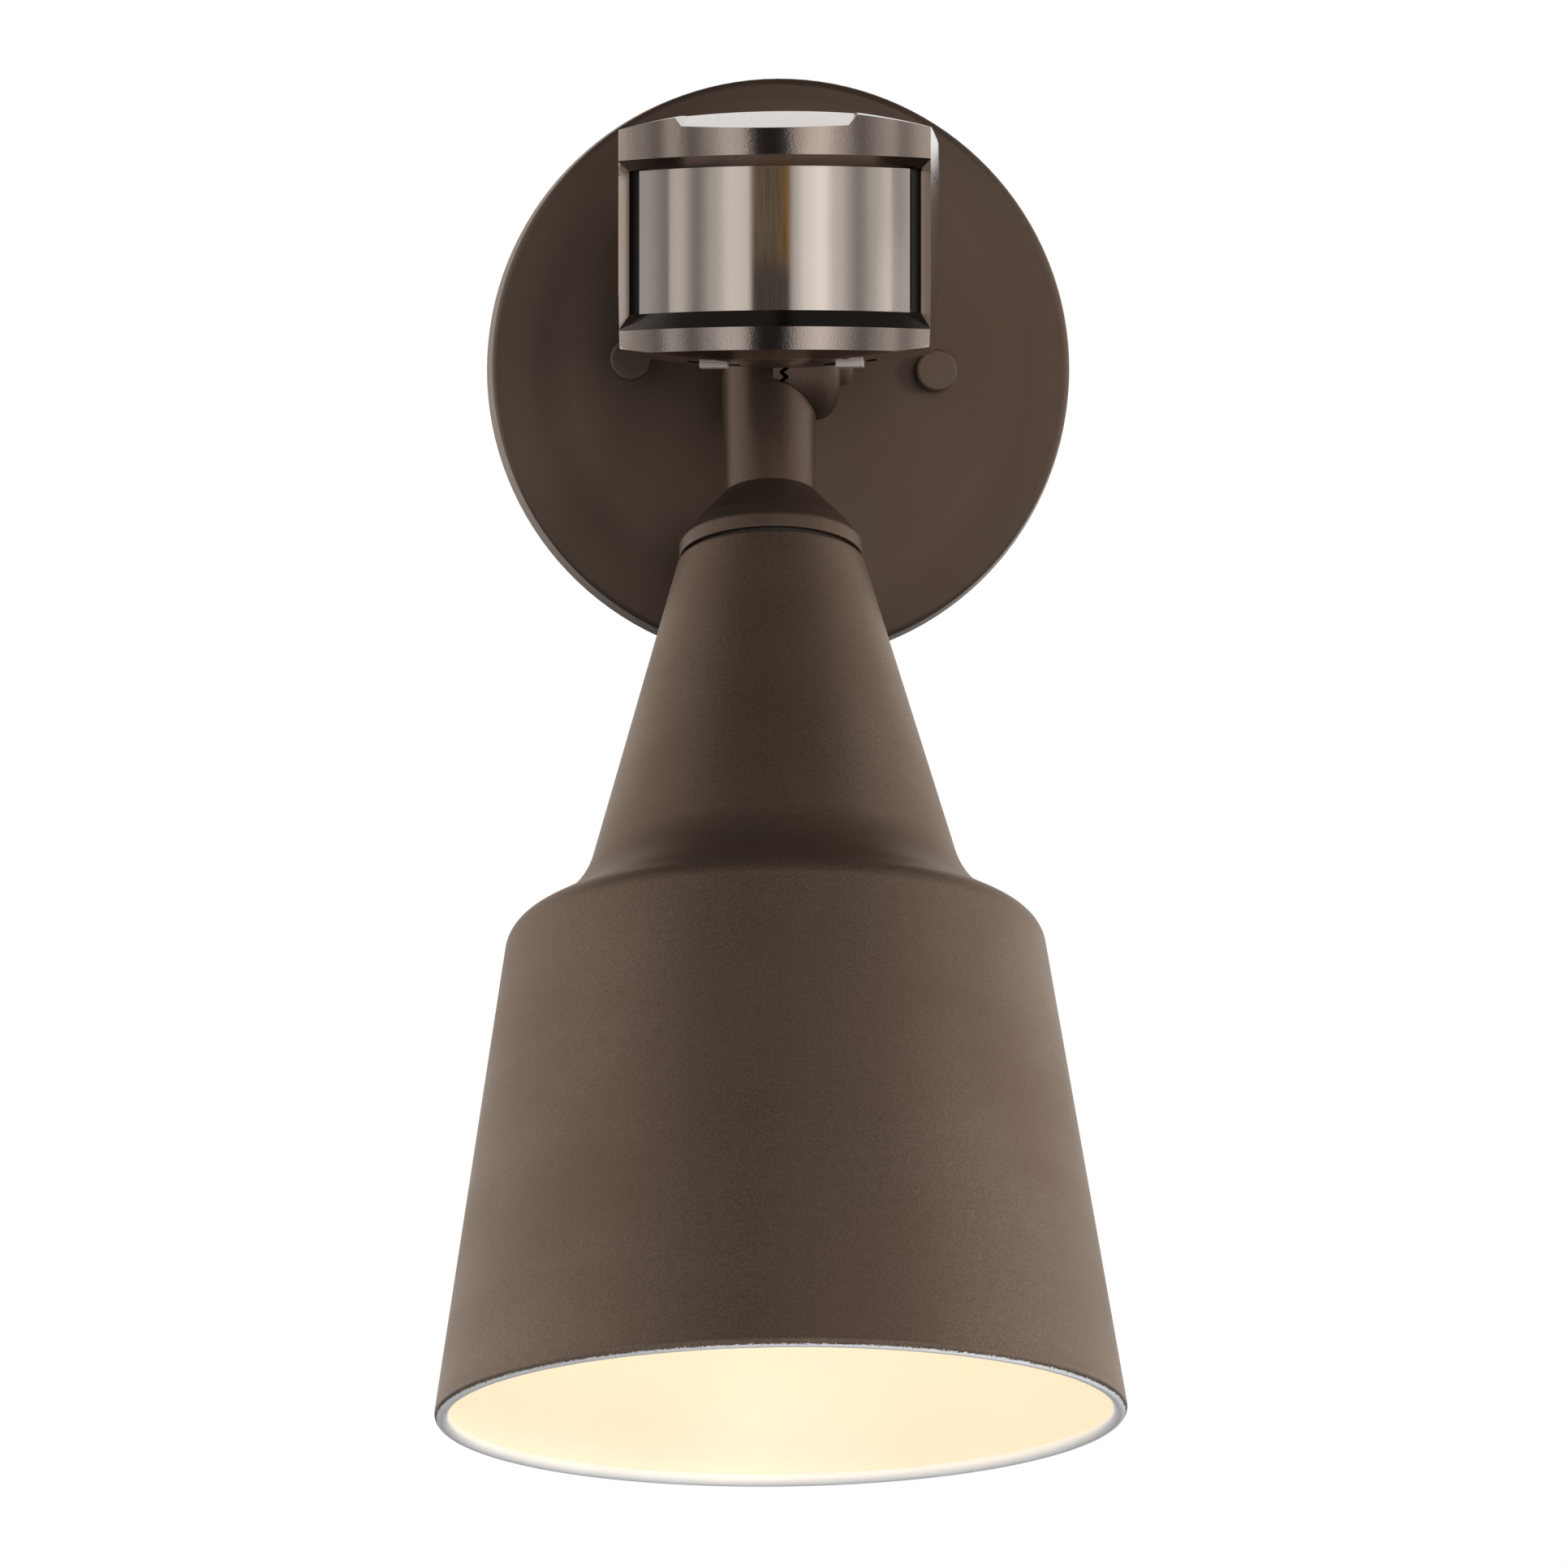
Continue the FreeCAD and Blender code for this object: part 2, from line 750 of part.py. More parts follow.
def lower_arm():
    ear_face = lower_ear_face()
    disc_face = seam_place - tooth_tip_gap - tooth_depth
    step_face = disc_face - serrated_disc_step
    tube = Part.makeCone(lower_arm_top_radius, lower_arm_end_radius, lower_arm_length,
                         place(lamp_axis_place, 0, 0), -UP)
    crown = turned([
        (0, 0), (lower_arm_top_radius, 0),
        (lower_arm_top_radius, lower_arm_crown, lower_arm_crown_round), (0, lower_arm_crown)])
    tube = tube.fuse(moved(crown, lamp_axis_place, 0, 0))
    sweep = rod(ear_radius + knuckle_clear, place(step_face, 0, 0), RIGHT, 2 * ear_outer_face)
    disc = rod(serrated_disc_radius, place(step_face, 0, 0), RIGHT, disc_face - step_face)
    body = tube.cut(sweep).fuse(disc)
    half_pitch = full_turn / tooth_count / 2
    body = body.fuse(teeth_ring(disc_face, seam_place - tooth_tip_gap, lamp_tilt_deg + half_pitch))
    cavity_start = nut_recess_floor() + knuckle_floor
    cavity = rod(knuckle_cavity_radius, place(cavity_start, 0, 0), RIGHT, -cavity_start)
    screw_bore = rod(pivot_screw_radius + running_gap, place(ear_face - cut_margin, 0, 0), RIGHT,
                     cut_margin - ear_face)
    recess_radius = pivot_nut_across / 2 / math.cos(math.pi / 6) + pivot_nut_recess_margin
    recess = rod(recess_radius, place(ear_face - cut_margin, 0, 0), RIGHT,
                 nut_recess_floor() - ear_face + cut_margin)
    wire_bore = rod(ear_wire_radius, place(lamp_axis_place, 0, 0), -UP, lower_arm_length)
    thread = rod(nipple_radius + thread_gap, place(lamp_axis_place, 0, -lower_wire_top), -UP,
                 lower_arm_length - lower_wire_top)
    body = body.cut(cavity).cut(screw_bore).cut(recess).cut(wire_bore).cut(thread)
    return lamp_posed(body.removeSplitter())


def socket_cap():
    start = cap_start()
    chain = [(nipple_radius + thread_gap, start),
             (cap_top_radius, start),
             (cap_cone_radius, start + cap_cone_length, cap_cone_round),
             (cap_skirt_radius, start + cap_skirt_start, cap_skirt_round),
             (cap_skirt_radius, start + cap_length)]
    return on_lamp_axis(hung(sheet_outline(chain, cap_wall)))


def cap_gasket():
    start = cap_start() + cap_length
    return on_lamp_axis(hung([
        (cap_gasket_outer - cap_gasket_width, start),
        (cap_gasket_outer, start),
        (cap_gasket_outer, start + cap_gasket_thickness),
        (cap_gasket_outer - cap_gasket_width, start + cap_gasket_thickness)]))


def lamp_shade():
    chain = [(nipple_radius + thread_gap, shade_start()),
             (shade_neck_radius, shade_start(), shade_neck_round),
             (shade_waist_radius, shade_waist_drop, shade_waist_round),
             (shade_shoulder_radius, shade_shoulder_drop, shade_shoulder_round),
             (shade_rim_radius, shade_rim_drop)]
    skin = hung(sheet_outline(chain, shade_wall))
    bead = Part.makeTorus(shade_rim_radius - shade_bead_radius, shade_bead_radius,
                          place(0, 0, -shade_rim_drop), UP)
    return on_lamp_axis(skin.fuse(bead).removeSplitter())


def threaded_nipple():
    start = cap_start() - nipple_engagement
    end = socket_start() + socket_nipple_depth - seat_gap
    return on_lamp_axis(hung([
        (nipple_bore, start), (nipple_radius, start), (nipple_radius, end), (nipple_bore, end)]))


def nipple_locknut():
    nut = hexagon(nipple_nut_across, nipple_radius + thread_gap, nipple_nut_thickness)
    return on_lamp_axis(moved(nut, 0, 0, -(shade_start() + shade_wall + nipple_nut_thickness)))


def socket_cavity_radius():
    return socket_radius - socket_wall


def socket_body():
    start = socket_start()
    floor = start + socket_floor
    end = start + socket_length
    return on_lamp_axis(hung([
        (nipple_radius + thread_gap, start),
        (socket_radius, start, socket_edge_round),
        (socket_radius, end, socket_edge_round),
        (socket_cavity_radius(), end),
        (socket_cavity_radius(), floor),
        (0, floor),
        (0, start + socket_nipple_depth),
        (nipple_radius + thread_gap, start + socket_nipple_depth)]))


def screw_shell():
    outer = socket_cavity_radius() - thread_gap
    start = socket_start() + socket_floor
    end = socket_start() + socket_length - screw_shell_margin
    return on_lamp_axis(hung([
        (outer - screw_shell_wall, start), (outer, start), (outer, end), (outer - screw_shell_wall, end)]))


def center_contact():
    start = socket_start() + socket_floor
    return on_lamp_axis(hung([
        (0, start), (contact_radius, start), (contact_radius, start + contact_height, contact_round),
        (0, start + contact_height)]))


# ---------------------------------------------------------------- reflector bulb

def bulb_start():
    return socket_start() + socket_floor + contact_height + body_gap


def bulb_base_start():
    return bulb_start() + bulb_contact_height + bulb_insulator_height


def bulb_body_start():
    return bulb_base_start() + bulb_thread_pitch * (bulb_thread_count + 1)


def bulb_contact():
    start = bulb_start()
    return on_lamp_axis(hung([
        (0, start), (bulb_contact_radius, start, contact_round),
        (bulb_contact_radius, start + bulb_contact_height), (0, start + bulb_contact_height)]))


def bulb_insulator():
    start = bulb_start() + bulb_contact_height
    return on_lamp_axis(hung([
        (0, start), (bulb_contact_radius, start), (bulb_insulator_radius, start + bulb_insulator_height),
        (0, start + bulb_insulator_height)]))


def bulb_base():
    start = bulb_base_start()
    valley = bulb_screw_radius - bulb_thread_depth
    corners = [(0, start), (valley, start)]
    for index in range(bulb_thread_count):
        crest = start + bulb_thread_pitch * (index + 0.5)
        corners.append((bulb_screw_radius, crest, bulb_thread_round))
        corners.append((valley, crest + bulb_thread_pitch / 2, bulb_thread_round))
    end = bulb_body_start()
    return on_lamp_axis(hung(corners + [(valley, end), (0, end)]))


def bulb_body():
    start = bulb_body_start()
    end = start + bulb_body_length
    cup = end - bulb_cup_depth
    rim_inner = bulb_rim_radius - bulb_lens_thickness
    return on_lamp_axis(hung([
        (0, start),
        (bulb_neck_radius, start, contact_round),
        (bulb_neck_radius, start + bulb_neck_length, bulb_neck_length / 2),
        (bulb_waist_radius, start + bulb_waist_length, bulb_waist_round),
        (bulb_rim_radius, end - bulb_rim_height, bulb_rim_round),
        (bulb_rim_radius, end),
        (rim_inner, end),
        (bulb_cup_radius, cup),
        (0, cup)]))


def bulb_led_board():
    top = bulb_body_start() + bulb_body_length - bulb_cup_depth
    return on_lamp_axis(hung([
        (0, top), (bulb_board_radius, top), (bulb_board_radius, top + bulb_board_thickness),
        (0, top + bulb_board_thickness)]))


def bulb_lens():
    start = bulb_body_start() + bulb_body_length
    radius = bulb_rim_radius - bulb_lens_inset
    ball = (radius ** 2 + bulb_lens_rise ** 2) / (2 * bulb_lens_rise)
    centre_drop = start + bulb_lens_rise - ball
    dome = Part.makeSphere(ball, place(0, 0, -centre_drop))
    hollow = Part.makeSphere(ball - bulb_lens_thickness, place(0, 0, -centre_drop))
    band = rod(radius, place(0, 0, -start), -UP, bulb_lens_rise + bulb_lens_thickness)
    return on_lamp_axis(band.common(dome).cut(hollow))


# ---------------------------------------------------------------- sensor post and swivel

def fork_half():
    return knuckle_height / 2 + body_gap


def sensor_post():
    collar_start = canopy_front
    neck_start = canopy_front - post_neck_reach
    bridge_end = pan_forward - knuckle_radius - knuckle_clear
    bridge_start = bridge_end - fork_bridge_depth
    outer_half = fork_half() + fork_ear_thickness
    body = rod(post_neck_radius, place(0, neck_start, 0), FORWARD, bridge_start - neck_start)
    collar = facing_forward(turned([
        (0, collar_start), (post_collar_radius, collar_start),
        (post_collar_radius, collar_start + post_collar_thickness, post_collar_round),
        (0, collar_start + post_collar_thickness)]))
    shaft = rod(post_radius, place(0, collar_start, 0), FORWARD, bridge_start - collar_start + cut_margin)
    bridge = block((-fork_ear_radius, fork_ear_radius), (bridge_start, bridge_end),
                   (-outer_half, outer_half))
    body = body.fuse(collar).fuse(shaft).fuse(bridge)
    for low in (-outer_half, fork_half()):
        ear = rod(fork_ear_radius, place(0, pan_forward, low), UP, fork_ear_thickness)
        web = block((-fork_ear_radius, fork_ear_radius), (bridge_end - cut_margin, pan_forward),
                    (low, low + fork_ear_thickness))
        body = body.fuse(ear).fuse(web)
    pin_bore = rod(pan_pin_radius + thread_gap, place(0, pan_forward, -outer_half - cut_margin), UP,
                   2 * (outer_half + cut_margin))
    wire_bore = rod(post_wire_radius, place(0, neck_start - cut_margin, 0), FORWARD,
                    post_port_place - neck_start + cut_margin)
    port = rod(post_port_radius, place(0, post_port_place - post_wire_radius, 0), RIGHT,
               post_collar_radius)
    body = body.cut(pin_bore).cut(wire_bore).cut(port)
    return moved(body.removeSplitter(), 0, 0, post_height)


def post_washer():
    start = canopy_front - canopy_sheet - post_washer_thickness
    ring = rod(post_washer_radius, place(0, start, post_height), FORWARD, post_washer_thickness)
    return ring.cut(rod(post_neck_radius + thread_gap, place(0, start, post_height), FORWARD,
                        post_washer_thickness))


def post_locknut():
    start = canopy_front - canopy_sheet - post_washer_thickness - post_nut_thickness
    nut = facing_forward(hexagon(post_nut_across, post_neck_radius + thread_gap, post_nut_thickness))
    return moved(nut, 0, start, post_height)


def pan_pin():
    half = fork_half() + fork_ear_thickness
    shank = rod(pan_pin_radius, place(0, pan_forward, -half - pan_pin_head_height / 2), UP,
                2 * half + pan_pin_head_height / 2)
    head = turned([(0, half), (pan_pin_head_radius, half),
                   (pan_pin_head_radius, half + pan_pin_head_height, pan_pin_head_height / 2),
                   (0, half + pan_pin_head_height)])
    pin = shank.fuse(moved(head, 0, pan_forward, 0))
    return moved(pin, 0, 0, post_height)


def sensor_posed(shape):
    """From the sensor's frame, pan axis at the origin, to its resting place."""
    return moved(rotated(shape, UP, pan_rest_deg), 0, pan_forward, 0)


def swivel_knuckle():
    half = knuckle_height / 2
    width = tilt_barrel_width / 2
    body = rod(knuckle_radius, place(0, 0, post_height - half), UP, knuckle_height)
    web = block((-width, width), (0, tilt_reach),
                (post_height - tilt_barrel_radius, post_height + tilt_barrel_radius))
    barrel = rod(tilt_barrel_radius, place(-width, tilt_reach, post_height), RIGHT, tilt_barrel_width)
    pan_bore = rod(pan_pin_radius + running_gap, place(0, 0, post_height - knuckle_height), UP,
                   2 * knuckle_height)
    tilt_bore = rod(tilt_screw_radius + running_gap, place(-2 * width, tilt_reach, post_height), RIGHT,
                    4 * width)
    body = body.fuse(web).fuse(barrel).cut(pan_bore).cut(tilt_bore)
    return sensor_posed(body.removeSplitter())


# ---------------------------------------------------------------- sensor head

def tilt_ear_inner():
    return tilt_barrel_width / 2 + body_gap


def tilt_ear_outer():
    return tilt_ear_inner() + tilt_ear_thickness


def tilt_screw():
    reach = tilt_ear_outer()
    shank = rod(tilt_screw_radius, place(-reach - tilt_nut_thickness, tilt_reach, post_height), RIGHT,
                2 * reach + tilt_nut_thickness)
    head = facing_right(turned([
        (0, 0), (tilt_head_radius, 0), (tilt_head_radius, tilt_head_height, tilt_head_round),
        (0, tilt_head_height)]))
    head = moved(head, reach, tilt_reach, post_height)
    return sensor_posed(shank.fuse(head))


def tilt_nut():
    nut = facing_right(hexagon(tilt_nut_across, tilt_screw_radius + thread_gap, tilt_nut_thickness))
    return sensor_posed(moved(nut, -tilt_ear_outer() - tilt_nut_thickness, tilt_reach, post_height))


def head_side_forward():
    """Where the side meets the curved front."""
    return head_front_centre + math.sqrt(head_front_radius ** 2 - head_half_width ** 2)


def head_half_at(forward):
    flare = math.tan(math.radians(head_side_flare_deg))
    return head_half_width + (head_side_forward() - forward) * flare


def head_plan(inset, front_inset):
    """Plan of the sensor head as a face: curved front, flared sides, rounded rear."""
    rear = head_rear + inset
    rear_half = head_half_at(rear) - inset
    radius = head_front_radius - front_inset
    reach = 2 * head_front_radius
    half = head_half_at(reach) - inset
    rounding = head_rear_round - inset
    corners = [(-rear_half, rear, rounding), (-half, reach), (half, reach), (rear_half, rear, rounding)]
    height = 2 * head_top
    prism = moved(outline(corners, plan).extrude(UP * height), 0, 0, -head_top)
    drum = rod(radius, place(0, head_front_centre, -head_top), UP, height)
    return prism.common(drum)


def head_front_view(inset):
    """Prism of the head's front view: sides drafted both ways from the parting line, corners rounded."""
    widest = head_half_at(head_rear) - inset
    draft = math.tan(math.radians(head_parting_draft_deg))
    low = head_chin + inset
    high = head_corner_height() - inset
    half_low = widest - (head_parting - low) * draft
    half_high = widest - (high - head_parting) * draft
    corners = [(-half_low, low, head_corner_round), (0, low - head_margin),
               (half_low, low, head_corner_round), (widest, head_parting),
               (half_high, high, head_top_corner_round), (0, high + 2 * head_margin),
               (-half_high, high, head_top_corner_round), (-widest, head_parting)]
    return outline(corners, front).extrude(FORWARD * (2 * head_front_radius))


def head_corner_height():
    """Height of the dome at the front corners."""
    across = head_half_width ** 2 + (head_side_forward() - head_top_centre) ** 2
    return head_top - across / (2 * head_top_radius)


def head_form(inset, front_inset):
    """The sensor head's outer form, or the same form set in by a wall."""
    form = head_plan(inset, front_inset).common(head_front_view(inset))
    dome = Part.makeSphere(head_top_radius - inset,
                           place(0, head_top_centre, head_top - head_top_radius))
    belly = rod(head_belly_radius - inset, place(0, 0, head_belly + head_belly_radius), FORWARD,
                2 * head_front_radius)
    slope = math.tan(math.radians(head_chin_slope_deg))
    depth = head_front_radius * slope
    apex = head_chin - depth + inset
    spread = 2 * head_front_radius
    chin = Part.makeCone(0, spread, spread * slope, place(0, head_front_centre, apex), UP)
    chin = chin.fuse(rod(spread, place(0, head_front_centre, apex + spread * slope), UP, 2 * head_top))
    form = form.common(dome).common(belly).common(chin)
    return form.cut(head_tail(inset))


def head_tail(inset):
    """Wedge that slopes the head's underside away from the arm."""
    run = (head_tail_forward - head_rear, head_tail_bottom - head_tail_top)
    length = math.hypot(run[0], run[1])
    normal = (-run[1] / length, run[0] / length)
    shift = (normal[0] * inset, normal[1] * inset)
    way = (run[0] / length, run[1] / length)
    reach = 2 * head_margin
    top = (head_rear + shift[0] - way[0] * reach, head_tail_top - shift[1] - way[1] * reach)
    low = (head_tail_forward + shift[0] + way[0] * reach, head_tail_bottom - shift[1] + way[1] * reach)
    corners = [top, low, (head_rear - reach, low[1]), (head_rear - reach, top[1])]
    wedge = outline(corners, side).extrude(RIGHT * (4 * head_half_width))
    return moved(wedge, -2 * head_half_width, 0, 0)


def window_cutter():
    """The lens window with its bevelled border, mitred at the corners."""
    outer = head_front_radius + cut_margin
    inner = head_front_radius - head_front_wall
    margin = cut_margin / head_front_wall
    ring = turned([
        (inner - cut_margin, window_bottom),
        (inner, window_bottom),
        (outer, window_bottom - bevel_bottom * (1 + margin)),
        (outer, window_top + bevel_top * (1 + margin)),
        (inner, window_top),
        (inner - cut_margin, window_top)])
    ring = moved(ring, 0, head_front_centre, 0)
    near = head_front_centre + math.sqrt(inner ** 2 - window_half ** 2)
    edge = window_half + bevel_side
    far = head_front_centre + math.sqrt(head_front_radius ** 2 - edge ** 2)
    wide = edge + bevel_side
    beyond = far + (far - near)
    corners = [(-window_half, 0), (window_half, 0), (window_half, near), (wide, beyond),
               (wide, 2 * head_front_radius), (-wide, 2 * head_front_radius), (-wide, beyond),
               (-window_half, near)]
    sector = outline(corners, plan).extrude(UP * (2 * head_top))
    opening = block((-window_half, window_half), (near - 2 * head_wall, head_front_radius),
                    (window_bottom, window_top))
    drum = rod(inner, place(0, head_front_centre, 0), UP, head_top)
    return ring.common(sector).fuse(opening.common(drum))


def notch_cutter():
    """Notch in the top brow, with a floor that rises to the rear."""
    start = head_front_centre + head_front_radius + cut_margin
    slope = math.tan(math.radians(notch_slope_deg))
    floor = notch_front_height - cut_margin * slope
    flare = (notch_top_half - notch_floor_half) / notch_depth
    rise = 3 * notch_depth
    corners = [(-notch_floor_half, floor), (notch_floor_half, floor),
               (notch_floor_half + flare * rise, floor + rise),
               (-notch_floor_half - flare * rise, floor + rise)]
    face = moved(outline(corners, front), notch_place, start, 0)
    run = head_front_radius
    return face.extrude(Vector(0, run, run * slope))


def head_halfspace(low, high):
    reach = 3 * head_half_width
    return block((-reach, reach), (-reach, reach), (low, high))


def boss_places():
    return [(-boss_place_x, boss_place_forward), (boss_place_x, boss_place_forward)]


def sensor_top_shell():
    outer = head_form(0, 0).cut(notch_cutter())
    inner = head_form(head_wall, head_front_wall)
    roof = head_form(head_wall, head_front_wall).cut(moved(notch_cutter(), 0, 0, -head_wall))
    shell = outer.cut(inner.common(roof))
    shell = shell.cut(window_cutter()).common(head_halfspace(head_parting, 2 * head_top))
    for x, forward in boss_places():
        boss = rod(boss_top_radius, place(x, forward, head_parting), UP, head_top)
        shell = shell.fuse(boss.common(outer))
    for x, forward in boss_places():
        shell = shell.cut(rod(screw_pilot_radius, place(x, forward, head_parting), UP,
                              housing_screw_reach + screw_pilot_extra))
    groove = head_form(0, 0).cut(head_form(head_parting_groove, head_parting_groove))
    groove = groove.common(head_halfspace(head_parting, head_parting + head_parting_groove / 2))
    return sensor_posed(shell.cut(groove).removeSplitter())


def slot_for_knob(place_x):
    half_x = knob_width / 2 + knob_travel + body_gap
    half_forward = knob_length / 2 + body_gap
    return block((place_x - half_x, place_x + half_x),
                 (knob_forward - half_forward, knob_forward + half_forward),
                 (head_belly - head_margin, 0))


def sensor_body_shell():
    outer = head_form(0, 0)
    inner = head_form(head_wall, head_front_wall)
    shell = outer.cut(inner).cut(window_cutter())
    for x, forward in boss_places():
        column = rod(boss_radius, place(x, forward, head_belly), UP, head_parting - head_belly)
        shell = shell.fuse(column.common(outer))
    for x in (-standoff_place_x, standoff_place_x):
        post = rod(standoff_radius, place(x, standoff_place_forward, head_belly), UP,
                   switch_board_height - head_belly)
        shell = shell.fuse(post.common(outer))
    shell = shell.common(head_halfspace(head_belly - head_margin, head_parting))
    for x, forward in boss_places():
        well = rod(screw_well_radius, place(x, forward, head_belly), UP, screw_seat - head_belly)
        hole = rod(screw_hole_radius, place(x, forward, screw_seat), UP, head_parting - screw_seat)
        shell = shell.cut(well).cut(hole)
    for place_x in (on_time_place, range_place):
        shell = shell.cut(slot_for_knob(place_x))
    for low in (-tilt_ear_outer(), tilt_ear_inner()):
        shell = shell.fuse(tilt_ear(low))
    wire_hole = rod(head_wire_radius, place(0, head_rear - cut_margin, head_wire_height), FORWARD,
                    head_wall + 2 * cut_margin)
    return sensor_posed(shell.cut(wire_hole).removeSplitter())


def tilt_ear(low):
    """One of the two ears behind the head that straddle the swivel knuckle."""
    disc = rod(tilt_ear_radius, place(low, tilt_reach, post_height), RIGHT, tilt_ear_thickness)
    web = block((low, low + tilt_ear_thickness), (tilt_reach, head_rear + head_wall / 2),
                (post_height - tilt_ear_radius, post_height + tilt_ear_radius))
    bore = rod(tilt_screw_radius + thread_gap, place(low - cut_margin, tilt_reach, post_height), RIGHT,
               tilt_ear_thickness + 2 * cut_margin)
    return disc.fuse(web).cut(bore)


def lens_radius():
    return head_front_radius - head_front_wall - lens_gap


def drum_between(outer, inner, low, high):
    """Ring coaxial with the head's front."""
    start = place(0, head_front_centre, low)
    return rod(outer, start, UP, high - low).cut(rod(inner, start, UP, high - low))


def sensor_lens():
    low = window_bottom - lens_lap
    high = window_top + lens_lap
    sheet = drum_between(lens_radius(), lens_radius() - lens_thickness, low, high)
    sheet = sheet.common(block((-lens_half, lens_half), (0, head_front_radius), (low, high)))
    edge = head_front_centre + math.sqrt(lens_radius() ** 2 - lens_half ** 2)
    inside = rod(lens_radius(), place(0, head_front_centre, low), UP, high - low)
    for left in (-lens_half, lens_half - lens_thickness):
        wing = block((left, left + lens_thickness), (edge - lens_return, edge + cut_margin),
                     (window_bottom + lens_lap, window_top - lens_lap))
        sheet = sheet.fuse(wing.common(inside))
    return sensor_posed(sheet.removeSplitter())


def lens_frame():
    """Dark bezel behind the lens. It closes the slots beside it."""
    outer = lens_radius() - lens_thickness - lens_gap
    half = head_half_at(head_side_forward() - frame_depth) - head_wall - frame_side_gap
    low = window_bottom - lens_lap
    high = window_top + lens_lap
    ring = drum_between(outer, outer - frame_depth, low, high)
    ring = ring.common(block((-half, half), (0, head_front_radius), (low, high)))
    inner_half = lens_half + frame_side_gap
    opening = block((-inner_half, inner_half), (0, head_front_radius),
                    (low + frame_bar, high - frame_bar))
    return sensor_posed(ring.cut(opening))


def switch_board():
    board = block((-switch_board_half, switch_board_half), (switch_board_rear, switch_board_front),
                  (switch_board_height, switch_board_height + board_thickness))
    return sensor_posed(board.common(head_plan(head_wall + body_gap, head_front_wall + body_gap)))


def main_board():
    return sensor_posed(block((-main_board_half, main_board_half),
                              (main_board_forward, main_board_forward + board_thickness),
                              (switch_board_height + board_thickness, main_board_top)))


def main_board_front():
    return main_board_forward + board_thickness


def pir_detector():
    flange = rod(detector_flange_radius, CENTRE, FORWARD, detector_flange_depth)
    can = facing_forward(turned([
        (0, 0), (detector_radius, 0), (detector_radius, detector_depth, component_round),
        (0, detector_depth)]))
    window = block((-detector_window / 2, detector_window / 2),
                   (detector_depth - detector_window_depth, detector_depth + cut_margin),
                   (-detector_window / 2, detector_window / 2))
    body = flange.fuse(can).cut(window)
    return sensor_posed(moved(body, 0, main_board_front(), detector_height))


def photocell():
    body = facing_forward(turned([
        (0, 0), (photocell_radius, 0), (photocell_radius, photocell_depth, component_round),
        (0, photocell_depth)]))
    return sensor_posed(moved(body, photocell_place, main_board_front(), photocell_height))


def status_led():
    stem = facing_forward(turned([
        (0, 0), (led_radius, 0), (led_radius, led_depth, led_tip_round), (0, led_depth)]))
    return sensor_posed(moved(stem, led_place, main_board_front(), led_height))


def boxed(left, width, rear, bottom, height):
    """Component soldered to the rear of the main board, with rounded upright edges."""
    corners = [(left, rear, component_round), (left + width, rear, component_round),
               (left + width, main_board_forward), (left, main_board_forward)]
    return sensor_posed(moved(outline(corners, plan).extrude(UP * height), 0, 0, bottom))


def relay():
    return boxed(relay_left, relay_width, main_board_forward - relay_depth, relay_bottom, relay_height)


def supply_capacitor():
    return boxed(capacitor_left, capacitor_width, main_board_forward - capacitor_depth, capacitor_bottom,
                 capacitor_height)


def housing_screws():
    screws = []
    for x, forward in boss_places():
        shank = rod(housing_screw_radius, place(x, forward, screw_seat), UP,
                    head_parting - screw_seat + housing_screw_reach)
        head = turned([
            (0, -housing_screw_head_height),
            (housing_screw_head_radius, -housing_screw_head_height, component_round),
            (housing_screw_head_radius, 0),
            (0, 0)])
        screws.append(sensor_posed(shank.fuse(moved(head, x, forward, screw_seat))))
    return Part.Compound(screws)


def slide_switches():
    """Slide switch bodies under the switch board, each with a slot for its knob's stem."""
    switches = []
    for place_x in (on_time_place, range_place):
        body = block((place_x - slide_switch_width / 2, place_x + slide_switch_width / 2),
                     (knob_forward - slide_switch_length / 2, knob_forward + slide_switch_length / 2),
                     (slide_switch_bottom, switch_board_height))
        half_x = knob_stem_width / 2 + knob_travel + body_gap
        half_forward = knob_stem_width / 2 + body_gap
        slot = block((place_x - half_x, place_x + half_x),
                     (knob_forward - half_forward, knob_forward + half_forward),
                     (slide_switch_bottom, knob_stem_top + slide_switch_slot_extra))
        switches.append(sensor_posed(body.cut(slot)))
    return Part.Compound(switches)


def slide_knob(place_x):
    half_x = knob_width / 2
    half_forward = knob_length / 2
    cap = block((place_x - half_x, place_x + half_x),
                (knob_forward - half_forward, knob_forward + half_forward),
                (knob_bottom, knob_top))
    flange = block((place_x - half_x - knob_flange_margin, place_x + half_x + knob_flange_margin),
                   (knob_forward - half_forward - knob_flange_margin,
                    knob_forward + half_forward + knob_flange_margin),
                   (knob_top, knob_top + knob_flange_thickness))
    stem = block((place_x - knob_stem_width / 2, place_x + knob_stem_width / 2),
                 (knob_forward - knob_stem_width / 2, knob_forward + knob_stem_width / 2),
                 (knob_top, knob_stem_top))
    return sensor_posed(cap.fuse(flange).fuse(stem).removeSplitter())


def on_time_knob():
    return slide_knob(on_time_place)


def range_knob():
    return slide_knob(range_place)


# ---------------------------------------------------------------- output

PIECES = (
    canopy, wall_gasket, crossbar, ground_screw, canopy_studs, cap_nuts,
    sensor_post, post_washer, post_locknut, pan_pin,
    upper_arm, arm_lock_washer, arm_locknut, pivot_screw, pivot_nut,
    lower_arm, socket_cap, cap_gasket, lamp_shade, threaded_nipple, nipple_locknut,
    socket_body, screw_shell, center_contact,
    bulb_contact, bulb_insulator, bulb_base, bulb_body, bulb_led_board, bulb_lens,
    swivel_knuckle,
    tilt_screw, tilt_nut, sensor_top_shell, sensor_body_shell, sensor_lens, lens_frame,
    switch_board, main_board, pir_detector, photocell, status_led, relay, supply_capacitor,
    housing_screws, slide_switches,
    on_time_knob, range_knob,
)


